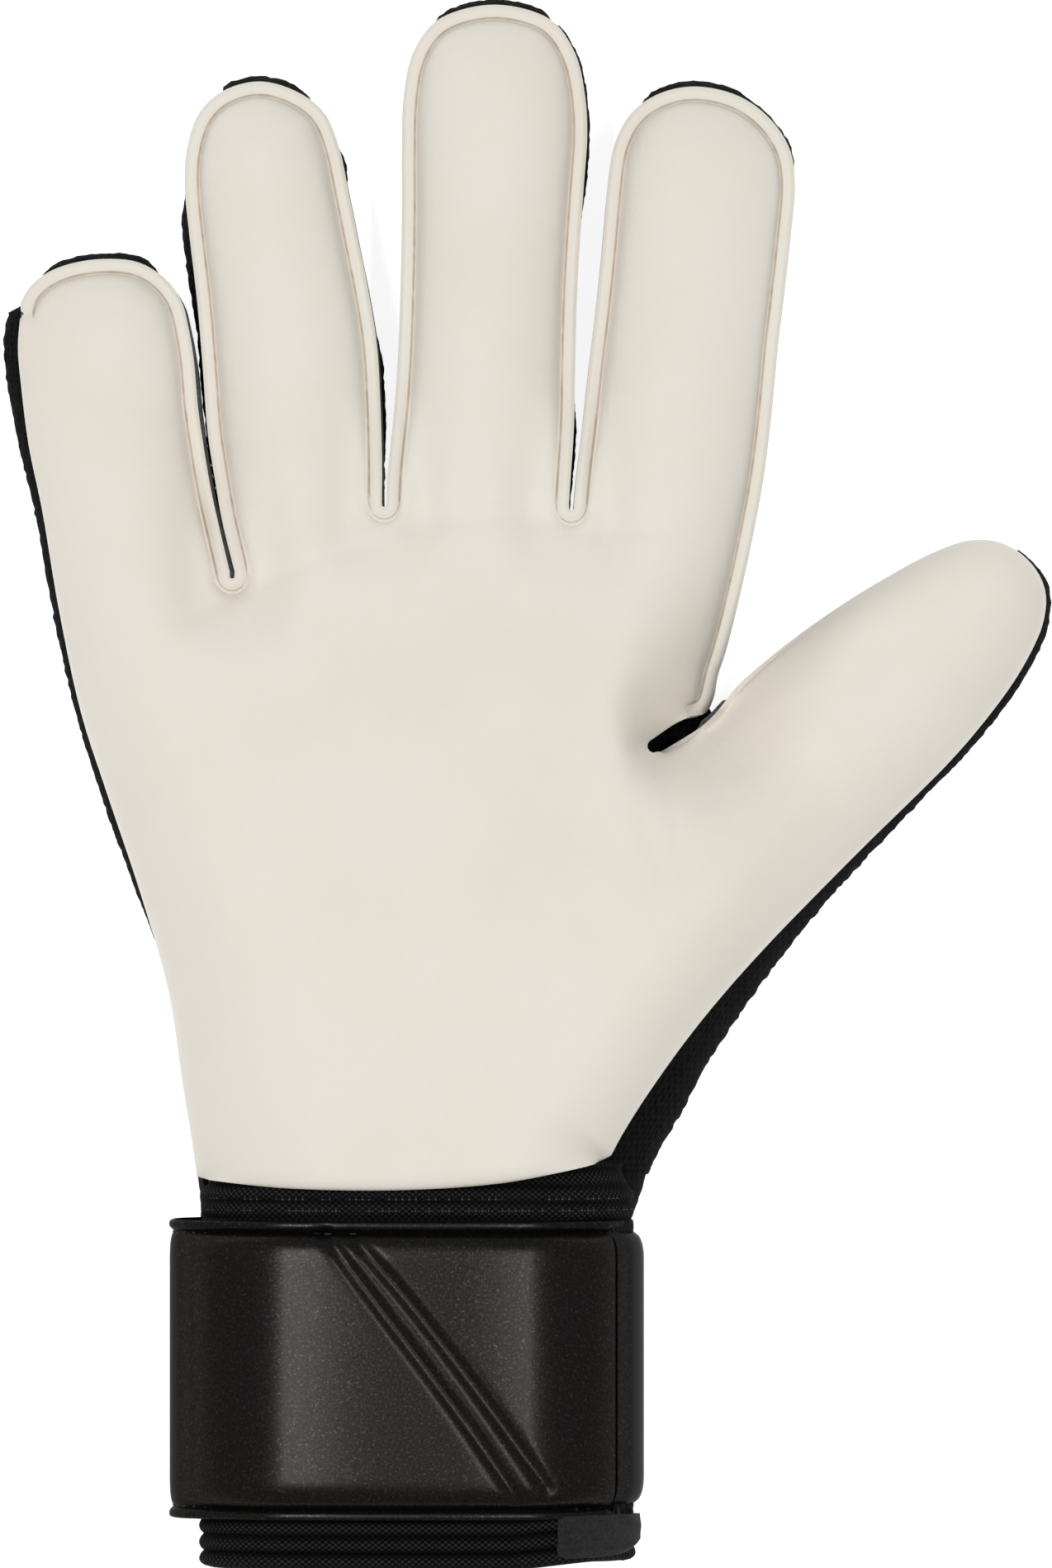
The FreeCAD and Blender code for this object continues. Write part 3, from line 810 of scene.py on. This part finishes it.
class GLOVE_OT_latex(bpy.types.Operator):
    """Build the latex front: one moulded sheet over the palm, four fingers and the thumb"""

    bl_idname = "glove.latex"
    bl_label = "Latex front"

    def execute(self, context):
        s = sizes()
        outline, kinds = glove_outline(s.edge_step)
        f = s.flange
        insets = [
            0.06, 0.25, 0.55, 1.0, 1.6, 2.1, f - 0.35, f - 0.13, f + 0.13, f + 0.35, f + 0.6, f + 1.0,
            f + 1.8, f + 2.8, f + 4.0]
        stitch_rings = (8, 9)
        bm = ringed_sheet(outline, insets, s.grid_pitch)
        split_bodies(bm)
        plan = plan_of(bm)
        height, to_flange = front_height(plan, outline, kinds)
        stitch = bm.verts.layers.float.new("stitch")
        # This layer carries the flange's painted shade to the latex material.
        flange = bm.verts.layers.float.new("flange")
        whole = bm.verts.layers.float_vector.new("whole_normal")
        ring = bm.verts.layers.int["ring"]
        for vert, z, d in zip(bm.verts, height, to_flange):
            vert.co.z = z
            knot = 0.8 + 0.4 * noise.noise(Vector((vert.co.x * 0.6, vert.co.y * 0.6, 3.0)))
            sewn = abs(d - f) < 0.6 and vert[ring] in stitch_rings
            vert[stitch] = min(1.0, max(0.4, knot)) if sewn else 0.0
            # Painted shade on the flange: darker where it slopes down into the stitch groove, plus a darker
            # band along its outer edge.
            groove_shade = 0.35 * float(smooth(0.9, f, d) * (d < f + 0.1))
            vert[flange] = groove_shade + 0.3 * float(smooth(0.3, 0.0, d))
        bm.normal_update()
        for vert, d in zip(bm.verts, to_flange):
            vert[whole] = vert.normal * (0.35 + 0.65 * float(smooth(1.0, 7.0, d)))
        for number, name in enumerate(BODY_NAMES):
            part = piece_of(bm, number)
            thicken(part, s.latex, beside_slits)
            obj = make_object(part, f"{name}_latex_front", "latex", "lining")
            follow(obj, name)
            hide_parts(*LATEX_NODES[name])
        bm.free()
        return {"FINISHED"}


def outward(outline):
    """The outward direction at each point of a clockwise outline."""
    step = np.roll(outline, -1, axis=0) - np.roll(outline, 1, axis=0)
    out = np.column_stack([-step[:, 1], step[:, 0]])
    return out / np.linalg.norm(out, axis=1)[:, None]


def room_beside(outline, out):
    """Clear width of the gap that each point of the outline faces."""
    room = np.full(len(outline), 50.0)
    for index, (point, normal) in enumerate(zip(outline, out)):
        gap = outline - point
        ahead = (gap @ normal) > 0.02
        facing = (out @ normal) < -0.2
        side = np.abs(gap @ np.array([normal[1], -normal[0]])) < 3.0
        hit = ahead & facing & side
        if hit.any():
            room[index] = (gap[hit] @ normal).min()
    return room


def knit_bulge(x, y, kind, facing):
    """How far the knitted side stands out past the latex edge, which faces the given way."""
    if kind in ("wrist", "pocket", "lump"):
        return -0.5
    if kind == "flange":
        tip = 1.6 * float(smooth(0.72, 0.97, facing[1])) * (y > 70)
        ring_left = -60 < x < -50 and facing[0] < -0.5
        ring_right = -36 < x < -24 and facing[0] > 0.5
        middle_right = 5 < x < 12 and facing[0] > 0.5
        if ring_left:
            return -0.3 + 1.6 * float(smooth(106, 97, y) * smooth(44, 56, y))
        if ring_right:
            shoulder = 0.7 * float(smooth(104, 107, y) * smooth(113, 109, y))
            return -0.3 + 1.1 * float(smooth(84, 72, y)) + shoulder
        if middle_right:
            return -0.3 + 0.8 * float(smooth(92, 108, y)) + 0.8 * float(smooth(72, 60, y))
        if x > 38 and facing[0] > 0.3:
            return max(-0.3 + 0.9 * float(smooth(104, 112, y)), tip - 0.3)
        return tip - 0.3
    if x < 0:
        return float(np.interp(y, [-80, -30, -20, -8, 15, 47, 60, 70, 78, 84],
                               [0.2, 0.0, 0.8, 1.3, 1.2, 1.5, 2.0, 2.6, 2.9, 2.2]))
    along, across = thumb_frame(x, y)
    if across < 30 and along < 92:
        return -0.8
    return float(np.interp(y, [-77, -71, -66, -53, -45, -36, -27, -19, -10, 0, 12, 24, 36, 42],
                           [4.2, 6.2, 7.4, 7.0, 5.6, 4.6, 3.3, 2.3, 1.8, 1.3, 1.5, 1.4, 1.0, 0.2]))


def add_pocket_web(bm):
    """The small knitted web that closes the pocket between the index finger and the thumb."""
    foot, head = Vector((21.4, 5.6, 0)), Vector((32.6, 12.4, 0))
    along = (head - foot).normalized()
    across = Vector((-along.y, along.x, 0))
    made = bmesh.ops.create_grid(bm, x_segments=26, y_segments=12, size=0.5)["verts"]
    for vert in made:
        u, v = vert.co.x + 0.5, vert.co.y
        spot = foot + (head - foot) * u + across * (6.0 * v * (1 - 0.5 * u) + 0.6 * (1 - u))
        fuzz = 0.35 * noise.noise(spot * 1.7)
        spot.z = 12.0 - 2.6 * u + 3.0 * v * v + fuzz
        vert.co = spot
    top = list({f for v in made for f in v.link_faces})
    if sum(f.normal.z for f in top) < 0:
        bmesh.ops.reverse_faces(bm, faces=top)
    geom = top + list({e for f in top for e in f.edges}) + list(made)
    under = bmesh.ops.extrude_face_region(bm, geom=geom, use_keep_orig=True)["geom"]
    bmesh.ops.translate(bm, vec=(0, 0, -0.8), verts=[g for g in under if isinstance(g, bmesh.types.BMVert)])
    for face in bm.faces:
        face.smooth = True


class GLOVE_OT_knit(bpy.types.Operator):
    """Build the knitted sides between the latex and the back"""

    bl_idname = "glove.knit"
    bl_label = "Knitted sides"

    def execute(self, context):
        outline, kinds = glove_outline(0.8, tail=8.0)
        out = outward(outline)
        room = room_beside(outline, out)
        count = len(outline)
        bm = bmesh.new()
        place = bm.verts.layers.int.new("place")
        loop = [bm.verts.new((x, y, 0)) for x, y in outline]
        for index, vert in enumerate(loop):
            vert[place] = index
        edges = []
        for index in range(count):
            if kinds[index] != "wrist":
                edges.append(bm.edges.new((loop[index], loop[(index + 1) % count])))
        rows = [loop]
        steps = 9
        fullest = 0.6
        for _ in range(steps):
            made = bmesh.ops.extrude_edge_only(bm, edges=edges)["geom"]
            edges = [g for g in made if isinstance(g, bmesh.types.BMEdge) and len(g.link_faces) == 1]
            rows.append([g for g in made if isinstance(g, bmesh.types.BMVert)])
        for row, verts in enumerate(rows):
            t = row / steps
            for vert in verts:
                index = vert[place]
                x, y = outline[index]
                kind = kinds[index]
                side = "flange" if kind in ("flange", "lump") else "roll"
                tuck = 2.0 + 4.0 * float(smooth(15, 7, math.hypot(x - 30, y - 11)))
                spot = np.array([x]), np.array([y])
                top = float(edge_height(*spot, side)[0]) - tuck
                low = 3.4 + float(thumb_lift(*spot)[0])
                bulge = min(knit_bulge(x, y, kind, out[index]), 0.5 * room[index] - 0.05)
                if t < fullest:
                    profile = -0.9 + (bulge + 0.9) * math.sin(min(1.0, t * 1.7) * math.pi / 2)
                else:
                    profile = bulge - (bulge + 0.8) * ((t - fullest) / (1 - fullest)) ** 2
                fuzz = 0.3 * noise.noise(Vector((x * 1.1, y * 1.1, t * 6))) if 0 < t < 1 else 0.0
                reach = profile + fuzz
                z = top + (low - top) * t
                vert.co = Vector((x + out[index][0] * reach, y + out[index][1] * reach, z))
        bmesh.ops.recalc_face_normals(bm, faces=bm.faces)
        facing = sum(f.normal.dot(Vector((*out[f.verts[0][place]], 0))) for f in bm.faces)
        if facing < 0:
            bmesh.ops.reverse_faces(bm, faces=bm.faces)
        split_bodies(bm)
        for number, name in enumerate(BODY_NAMES):
            part = piece_of(bm, number)
            thicken(part, 0.8)
            if name == "hand":
                add_pocket_web(part)
            obj = make_object(part, f"{name}_knit_side", "knit", "knit")
            follow(obj, name)
            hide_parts(*KNIT_NODES[name])
        bm.free()
        return {"FINISHED"}


def back_height(points, outline):
    """Height of the padded back: rounded at its edge, flat where it lies, with sewn channels."""
    x, y = points[:, 0], points[:, 1]
    to_edge = distance(points, outline, np.ones(len(outline), bool))
    height = 4.2 * (1 - swell(to_edge / 5.0, 2.2))
    lines = [
        [(-78, 30), (-40, 18), (0, 20), (30, 34)], [(-74, 12), (-38, 0), (2, 2), (26, 14)],
        [(-68, -8), (-34, -18), (4, -16), (30, -6)], [(-62, -30), (-30, -38), (6, -36), (26, -28)],
    ]
    for name, xs in (("little", (-84, -58)), ("ring", (-57, -28)), ("middle", (-22, 9)), ("index", (12, 44))):
        mid = DIGITS[name]["mid"]
        lines.append([(xs[0], mid - 9), (xs[1], mid - 9)])
        lines.append([(xs[0], mid + 9), (xs[1], mid + 9)])
    for line in lines:
        height += 1.3 * np.exp(-(distance_to_line(points, line, 2.0) / 1.1) ** 2)
    return height + thumb_lift(x, y)


class GLOVE_OT_back(bpy.types.Operator):
    """Build the padded back of the hand, fingers and thumb"""

    bl_idname = "glove.back"
    bl_label = "Padded back"

    def execute(self, context):
        outline, _ = glove_outline(2.0)
        outline = outline - outward(outline) * 0.5
        bm = ringed_sheet(outline, [0.3, 0.9, 1.8, 3.0, 4.4], 1.9)
        split_bodies(bm)
        for vert, z in zip(bm.verts, back_height(plan_of(bm), outline)):
            vert.co.z = z
        bmesh.ops.reverse_faces(bm, faces=bm.faces)
        bm.normal_update()
        whole = bm.verts.layers.float_vector.new("whole_normal")
        for vert in bm.verts:
            vert[whole] = vert.normal
        for number, name in enumerate(BODY_NAMES):
            part = piece_of(bm, number)
            thicken(part, 1.8)
            obj = make_object(part, f"{name}_padded_back", "backhand", "lining")
            follow(obj, name)
            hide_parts(*BACK_NODES[name])
        bm.free()
        return {"FINISHED"}


# ---------------------------------------------------------------- wrist

def section_point(left, right, low, high, radius, share):
    """A point and outward direction on a rounded section, going from its right side over the top."""
    width = right - left - 2 * radius
    height = high - low - 2 * radius
    arc = radius * math.pi / 2
    legs = [
        (height, (right, low + radius), (0, 1), None), (arc, (right - radius, high - radius), None, 0.0),
        (width, (right - radius, high), (-1, 0), None), (arc, (left + radius, high - radius), None, 90.0),
        (height, (left, high - radius), (0, -1), None), (arc, (left + radius, low + radius), None, 180.0),
        (width, (left + radius, low), (1, 0), None), (arc, (right - radius, low + radius), None, 270.0),
    ]
    total = sum(leg[0] for leg in legs)
    at = (share % 1.0) * total
    for length, place, direction, angle in legs:
        if at <= length or length == legs[-1][0] and angle == 270.0:
            if direction is not None:
                point = (place[0] + direction[0] * at, place[1] + direction[1] * at)
                normal = (direction[1], -direction[0])
                return point, normal
            a = math.radians(angle + 90.0 * min(at / length, 1.0))
            normal = (math.cos(a), math.sin(a))
            return (place[0] + radius * normal[0], place[1] + radius * normal[1]), normal
        at -= length
    raise ValueError("the share ran past the section")


def wrapped_grid(columns, rows):
    """A unit grid, to be wrapped round the wrist."""
    bm = bmesh.new()
    bmesh.ops.create_grid(bm, x_segments=columns, y_segments=rows, size=0.5)
    for vert in bm.verts:
        vert.co.x += 0.5
        vert.co.y += 0.5
    return bm


def settle(x, upward):
    """How far the wrist's front falls away to either side of its middle."""
    return 5.0 * min(1.0, abs(x + 20.5) / 37.0) ** 2.5 * max(0.0, upward)


def raised(point, normal, rise, y, fall_x=None):
    """The place above a point of a section, fallen away as the wrist's front does there."""
    x = point[0] + normal[0] * rise
    return Vector((x, y, point[1] + normal[1] * rise - settle(x if fall_x is None else fall_x, normal[1])))


WRIST_CENTRE = Vector((-20.0, -100.0, 24.0))
# Sections round the wrist as left, right, low, high and corner radius, and the length round the strap's.
BANDAGE = (-56.0, 18.2, 8.2, 44.8, 16.0)
STRAP = (-57.6, 15.8, 8.0, 45.2, 16.0)
ROUND_WRIST = 193.7
RIB_PITCH = 2.9
RIB_HEIGHT = 0.55
CUFF_ROLLS = -127.5


def rib(y, z_pull):
    """Height of the ribs along the cuff, each pulled a little out of line."""
    return RIB_HEIGHT * abs(math.sin(math.pi * y / RIB_PITCH + z_pull)) ** 0.7


class GLOVE_OT_bandage(bpy.types.Operator):
    """Build the ribbed elastic bandage and its thick cuff"""

    bl_idname = "glove.bandage"
    bl_label = "Ribbed cuff"

    def execute(self, context):
        bm = wrapped_grid(150, 190)
        cloth = bm.verts.layers.float_vector.new("cloth")
        top, bottom = -66.0, -136.2
        for vert in bm.verts:
            share, along = vert.co.x, vert.co.y
            point, normal = section_point(*BANDAGE, share)
            y = bottom + (top - bottom) * along
            sweep = 0.10 * max(0.0, point[0] + 2.0) * (0.5 + 0.5 * normal[1]) if y < -126 else 0.0
            fuzz = 0.12 * noise.noise(Vector((point[0], y * 2, point[1])))
            grow = rib(y, 0.35 * math.sin(point[0] * 0.05)) + fuzz
            # How high a point stands on its rib; the material turns it into painted shade, darker in the
            # valleys and lighter on the crests.
            crest = 0.35 + 0.65 * min(1.0, grow / RIB_HEIGHT)
            if y < CUFF_ROLLS:
                roll = abs(math.sin(math.pi * (y - CUFF_ROLLS) / RIB_PITCH)) ** 0.6
                grow = 1.1 * roll - 0.2
                crest = roll
            # The third part of this attribute carries the rib height for the painted shade.
            vert[cloth] = Vector((share * ROUND_WRIST, y, crest))
            grow -= 1.9 * float(smooth(-71.5, -67.5, y))
            edge = min((y - bottom) / 1.5, 1.0)
            grow -= 1.2 * (1 - math.sqrt(max(0.0, 1 - (1 - edge) ** 2)))
            vert.co = raised(point, normal, grow, y + sweep, point[0])
        bmesh.ops.remove_doubles(bm, verts=bm.verts, dist=0.02)
        face_away(bm, WRIST_CENTRE)
        thicken(bm, 1.8)
        obj = make_object(bm, "ribbed_bandage", "bandage", "bandage")
        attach(obj, "hand")
        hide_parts("wrist_bandage", "cuff_hem")
        return {"FINISHED"}


class GLOVE_OT_flap(bpy.types.Operator):
    """Build the brushed flap at the thumb side of the cuff"""

    bl_idname = "glove.flap"
    bl_label = "Cuff flap"

    def execute(self, context):
        bm = wrapped_grid(28, 18)
        for vert in bm.verts:
            u, v = vert.co.x, vert.co.y
            y = -126.8 - 7.4 * v * (1 - 0.3 * u ** 3)
            point, normal = section_point(*BANDAGE, 0.137 - 0.103 * u)
            grow = 1.9 - 0.9 * max(0.0, v - 0.85) / 0.15 - 0.5 * max(0.0, 0.1 - u) / 0.1
            grow += 0.25 * noise.noise(Vector((point[0] * 0.5, y * 0.5, 0)))
            vert.co = raised(point, normal, grow, y, point[0])
        face_away(bm, WRIST_CENTRE)
        thicken(bm, 1.2)
        obj = make_object(bm, "brushed_flap", "brushed", "brushed")
        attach(obj, "hand")
        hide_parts("cuff_flap")
        return {"FINISHED"}


STRAP_LINES = [
    [(-34.8, -77.8), (-26.5, -89.0), (-17.4, -101.0), (-9.0, -112.5), (-1.6, -123.4)],
    [(-29.8, -78.6), (-21.0, -88.6), (-11.8, -100.4), (-3.6, -111.6), (3.6, -121.8)],
]


# How far the strap's seams lie in from its long edges.
SEWN_IN = 2.2


def strap_band():
    """Half the strap's width, and its middle along the glove."""
    half = sizes().strap_width / 2
    return half, sizes().strap_top - half


def across_strap(share):
    """A place across the strap from -1 to 1, with the grid's rows closer near both long edges."""
    v = share * 2 - 1
    return math.copysign(1 - (1 - abs(v)) ** 1.35, v)


def at_side(normal):
    """How far a part of the strap lies at the wrist's side, where its seams stand up as ears."""
    return float(smooth(0.55, 1.0, abs(normal[0])))


def strap_rise(edge, side=0.0):
    """Height of the strap's skin over its lining, by distance from its long edge."""
    seam = 1.0 + 2.6 * side
    full = 4.4
    if edge < SEWN_IN:
        lip = 1.0 - math.sqrt(max(0.0, 1 - (1 - min(edge / 0.6, 1.0)) ** 2))
        return seam + 0.9 - 0.7 * lip - 0.9 * float(smooth(1.0, SEWN_IN, edge))
    return seam + (full - seam) * float(swell((edge - SEWN_IN) / 5.0, 2.4))


class GLOVE_OT_strap(bpy.types.Operator):
    """Build the padded wrist strap with its sewn edges and two pressed lines"""

    bl_idname = "glove.strap"
    bl_label = "Wrist strap"

    def execute(self, context):
        bm = wrapped_grid(300, 96)
        first, last = 0.081, 0.80
        half, mid_y = strap_band()
        for vert in bm.verts:
            share = first + (last - first) * vert.co.x
            v = across_strap(vert.co.y)
            point, normal = section_point(*STRAP, share)
            rise = strap_rise(half - abs(v) * half, at_side(normal))
            end = min((share - first) / 0.004, (last - share) / 0.010, 1.0)
            rise *= 0.85 + 0.15 * math.sqrt(max(0.0, 1 - (1 - max(end, 0.0)) ** 2))
            if normal[1] < 0:
                rise *= 1 - 0.45 * -normal[1]
            vert.co = raised(point, normal, rise, mid_y + v * half)
        plan = plan_of(bm)
        front_above = 38
        for line in STRAP_LINES:
            for vert, d in zip(bm.verts, distance_to_line(plan, line, 1.5)):
                if vert.co.z > front_above:
                    vert.co.z -= 0.85 * math.exp(-(d / 1.2) ** 2)
        face_away(bm, WRIST_CENTRE)
        thicken(bm, 0.9)
        obj = make_object(bm, "padded_strap", "strap", "brushed")
        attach(obj, "hand")
        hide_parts("strap_skin", "strap_foam", "strap_lining")
        return {"FINISHED"}


# The tab's way round the thumb side, as places across the glove and above its back.
TAB_PATH = [
    (15.9, 38.7), (18.7, 34.2), (20.3, 28.0), (20.2, 20.5), (17.8, 11.5), (12.2, 4.6), (4.6, 1.0),
    (-4.0, 0.15), (-20.0, 0.1), (-37.6, 0.3),
]


def tab_grid(columns, rows):
    """The tab's outer surface from the thumb side to its rounded end."""
    spacing = 0.4
    corner = 9.0
    path = spline(TAB_PATH, spacing)
    step = np.gradient(path, axis=0)
    normals = np.column_stack([-step[:, 1], step[:, 0]])
    normals /= np.linalg.norm(normals, axis=1)[:, None]
    length = spacing * (len(path) - 1)
    half, mid_y = strap_band()
    bm = wrapped_grid(columns, rows)
    for vert in bm.verts:
        along = vert.co.x * (len(path) - 1)
        point = [np.interp(along, range(len(path)), path[:, k]) for k in (0, 1)]
        normal = [np.interp(along, range(len(path)), normals[:, k]) for k in (0, 1)]
        v = across_strap(vert.co.y)
        to_end = (1 - vert.co.x) * length
        t = max(0.0, 1 - to_end / corner)
        reach = half - corner * (1 - math.sqrt(max(0.0, 1 - t * t)))
        edge = min(reach - abs(v) * reach, to_end + 0.05)
        rise = 0.72 * strap_rise(edge) - 3.1
        vert.co = Vector((point[0] + normal[0] * rise, mid_y + v * reach, point[1] + normal[1] * rise))
    return bm


class GLOVE_OT_tab(bpy.types.Operator):
    """Build the strap's closing tab, which passes round the thumb side to the back of the wrist"""

    bl_idname = "glove.tab"
    bl_label = "Closing tab"

    def execute(self, context):
        bm = tab_grid(150, 60)
        face_away(bm, WRIST_CENTRE)
        thicken(bm, 2.2)
        obj = make_object(bm, "closing_tab", "strap", "brushed")
        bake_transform(obj)
        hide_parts("tab_skin", "tab_foam")
        return {"FINISHED"}


def patch(name, left, right, level, body, finish, node):
    """A rectangle of fastening tape with rounded corners and a napped face."""
    margin = 4.6
    corner = 4.0
    half, mid_y = strap_band()
    half -= margin
    wide = (right - left) / 2
    bm = wrapped_grid(46, 52)
    for vert in bm.verts:
        u, v = vert.co.x * 2 - 1, vert.co.y * 2 - 1
        x, y = u * wide, v * half
        over = max(0.0, abs(x) - (wide - corner))
        y = math.copysign(min(abs(y), half - corner + math.sqrt(max(0.0, corner ** 2 - over ** 2))), y)
        edge = min(wide - abs(x), half - abs(v * half))
        nap = 0.14 * noise.noise(Vector((x * 2.2, y * 2.2, level)))
        seam = 0.3 * math.exp(-((edge - 1.6) / 0.35) ** 2)
        z = level - 0.35 * math.exp(-(edge / 0.8) ** 2) - seam + nap
        vert.co = Vector(((left + right) / 2 + x, mid_y + y, z))
    bmesh.ops.recalc_face_normals(bm, faces=bm.faces)
    thicken(bm, 0.6)
    obj = make_object(bm, name, finish, "brushed")
    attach(obj, body)
    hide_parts(node)


class GLOVE_OT_patches(bpy.types.Operator):
    """Build the hook and loop patches that close the tab"""

    bl_idname = "glove.patches"
    bl_label = "Hook and loop patches"

    def execute(self, context):
        patch("hook_tape", -33.6, -4.6, 3.6, "strap_tab", "hook", "hook_patch")
        patch("loop_tape", -41.6, -4.6, 5.0, "hand", "loop", "loop_patch")
        return {"FINISHED"}


def add_stitch(bm, centre, along, out, length, width):
    """One stitch: a small rounded bar of thread."""
    x = along.normalized()
    z = out.normalized()
    y = z.cross(x)
    turn = Matrix((x, y, z)).transposed().to_4x4()
    size = Matrix.Diagonal((length / 2, width / 2, width / 2.6, 1))
    place = Matrix.Translation(centre) @ turn @ size
    bmesh.ops.create_icosphere(bm, subdivisions=1, radius=1.0, matrix=place)


class GLOVE_OT_stitches(bpy.types.Operator):
    """Sew the strap along both long edges"""

    bl_idname = "glove.stitches"
    bl_label = "Strap stitches"

    def execute(self, context):
        half, mid_y = strap_band()
        bm = bmesh.new()
        pitch = 2.15
        share, last = 0.088, 0.79
        while share < last:
            point, normal = section_point(*STRAP, share)
            ahead, _ = section_point(*STRAP, share + 0.002)
            rise = strap_rise(SEWN_IN, at_side(normal)) + 0.12
            rise *= 1 - 0.45 * max(0.0, -normal[1])
            along = Vector((ahead[0] - point[0], 0, ahead[1] - point[1]))
            out = Vector((normal[0], 0, normal[1]))
            for side in (-1, 1):
                centre = raised(point, normal, rise, mid_y + side * (half - SEWN_IN))
                add_stitch(bm, centre, along, out, 1.75, 0.5)
            share += pitch / ROUND_WRIST
        for face in bm.faces:
            face.smooth = True
        obj = make_object(bm, "strap_stitches", "thread")
        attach(obj, "hand")
        return {"FINISHED"}


class GLOVE_OT_stage(bpy.types.Operator):
    """Build the floor, the lights and the camera"""

    bl_idname = "glove.stage"
    bl_label = "Stage"

    def execute(self, context):
        # The stage is laid out in metres.
        scene = context.scene
        bm = bmesh.new()
        bmesh.ops.create_grid(bm, x_segments=8, y_segments=8, size=4.0)
        mesh = bpy.data.meshes.new("floor")
        bm.to_mesh(mesh)
        bm.free()
        floor = bpy.data.objects.new("floor", mesh)
        scene.collection.objects.link(floor)
        paint = Paint("white floor", (0.62, 0.62, 0.62), 0.95)
        paint.set("Emission Color", (1, 1, 1, 1))
        paint.set("Emission Strength", 0.88)
        mesh.materials.append(paint.material)
        scene.view_settings.view_transform = "Standard"
        world = scene.world or bpy.data.worlds.new("studio")
        scene.world = world
        world.use_nodes = True
        background = world.node_tree.nodes["Background"]
        background.inputs["Color"].default_value = (1.0, 1.0, 1.0, 1)
        background.inputs["Strength"].default_value = 0.38
        for name, place, size, power in (
                ("key light", (-0.31, 0.12, 1.0), 0.11, 5.3), ("fill light", (0.30, 0.0, 1.0), 0.09, 3.5)):
            light = bpy.data.lights.new(name, "AREA")
            light.shape = "RECTANGLE"
            light.size = size
            light.size_y = 0.7
            light.energy = power
            lamp = bpy.data.objects.new(name, light)
            lamp.location = place
            lamp.rotation_euler = (0.0, math.atan2(place[0], place[2]), 0.0)
            scene.collection.objects.link(lamp)
        return {"FINISHED"}


class GLOVE_OT_camera(bpy.types.Operator):
    """Set the camera straight above the palm"""

    bl_idname = "glove.camera"
    bl_label = "Camera"

    def execute(self, context):
        data = bpy.data.cameras.new("camera")
        data.sensor_fit = "VERTICAL"
        # The sensor and the lens are in millimetres, and everything else here is in metres.
        sensor = 36.0
        view_height = 0.273456
        distance_up = 3.0
        palm_level = 0.022
        data.sensor_height = sensor
        data.lens = sensor * distance_up / view_height
        data.clip_end = 20.0
        camera = bpy.data.objects.new("camera", data)
        camera.location = (SHIFT.x * MM, SHIFT.y * MM, distance_up + palm_level)
        context.scene.collection.objects.link(camera)
        context.scene.camera = camera
        return {"FINISHED"}


OPERATORS = [
    GLOVE_OT_camera, GLOVE_OT_latex, GLOVE_OT_knit, GLOVE_OT_back, GLOVE_OT_bandage, GLOVE_OT_flap,
    GLOVE_OT_strap, GLOVE_OT_tab, GLOVE_OT_patches, GLOVE_OT_stitches, GLOVE_OT_stage,
]


class GLOVE_PT_panel(bpy.types.Panel):
    """Lists the glove's pieces"""

    bl_idname = "GLOVE_PT_panel"
    bl_label = "Goalkeeper glove"
    bl_space_type = "VIEW_3D"
    bl_region_type = "UI"
    bl_category = "Glove"

    def draw(self, context):
        for operator in OPERATORS:
            self.layout.operator(operator.bl_idname)


CLASSES = [GloveSizes, GloveColours, *OPERATORS, GLOVE_PT_panel]


def register():
    for item in CLASSES:
        bpy.utils.register_class(item)
    bpy.types.Scene.glove_sizes = bpy.props.PointerProperty(type=GloveSizes)
    bpy.types.Scene.glove_colours = bpy.props.PointerProperty(type=GloveColours)


def unregister():
    del bpy.types.Scene.glove_sizes
    del bpy.types.Scene.glove_colours
    for item in reversed(CLASSES):
        bpy.utils.unregister_class(item)


def main():
    register()
    for operator in OPERATORS:
        group, name = operator.bl_idname.split(".")
        getattr(getattr(bpy.ops, group), name)()


if __name__ == "__main__":
    main()
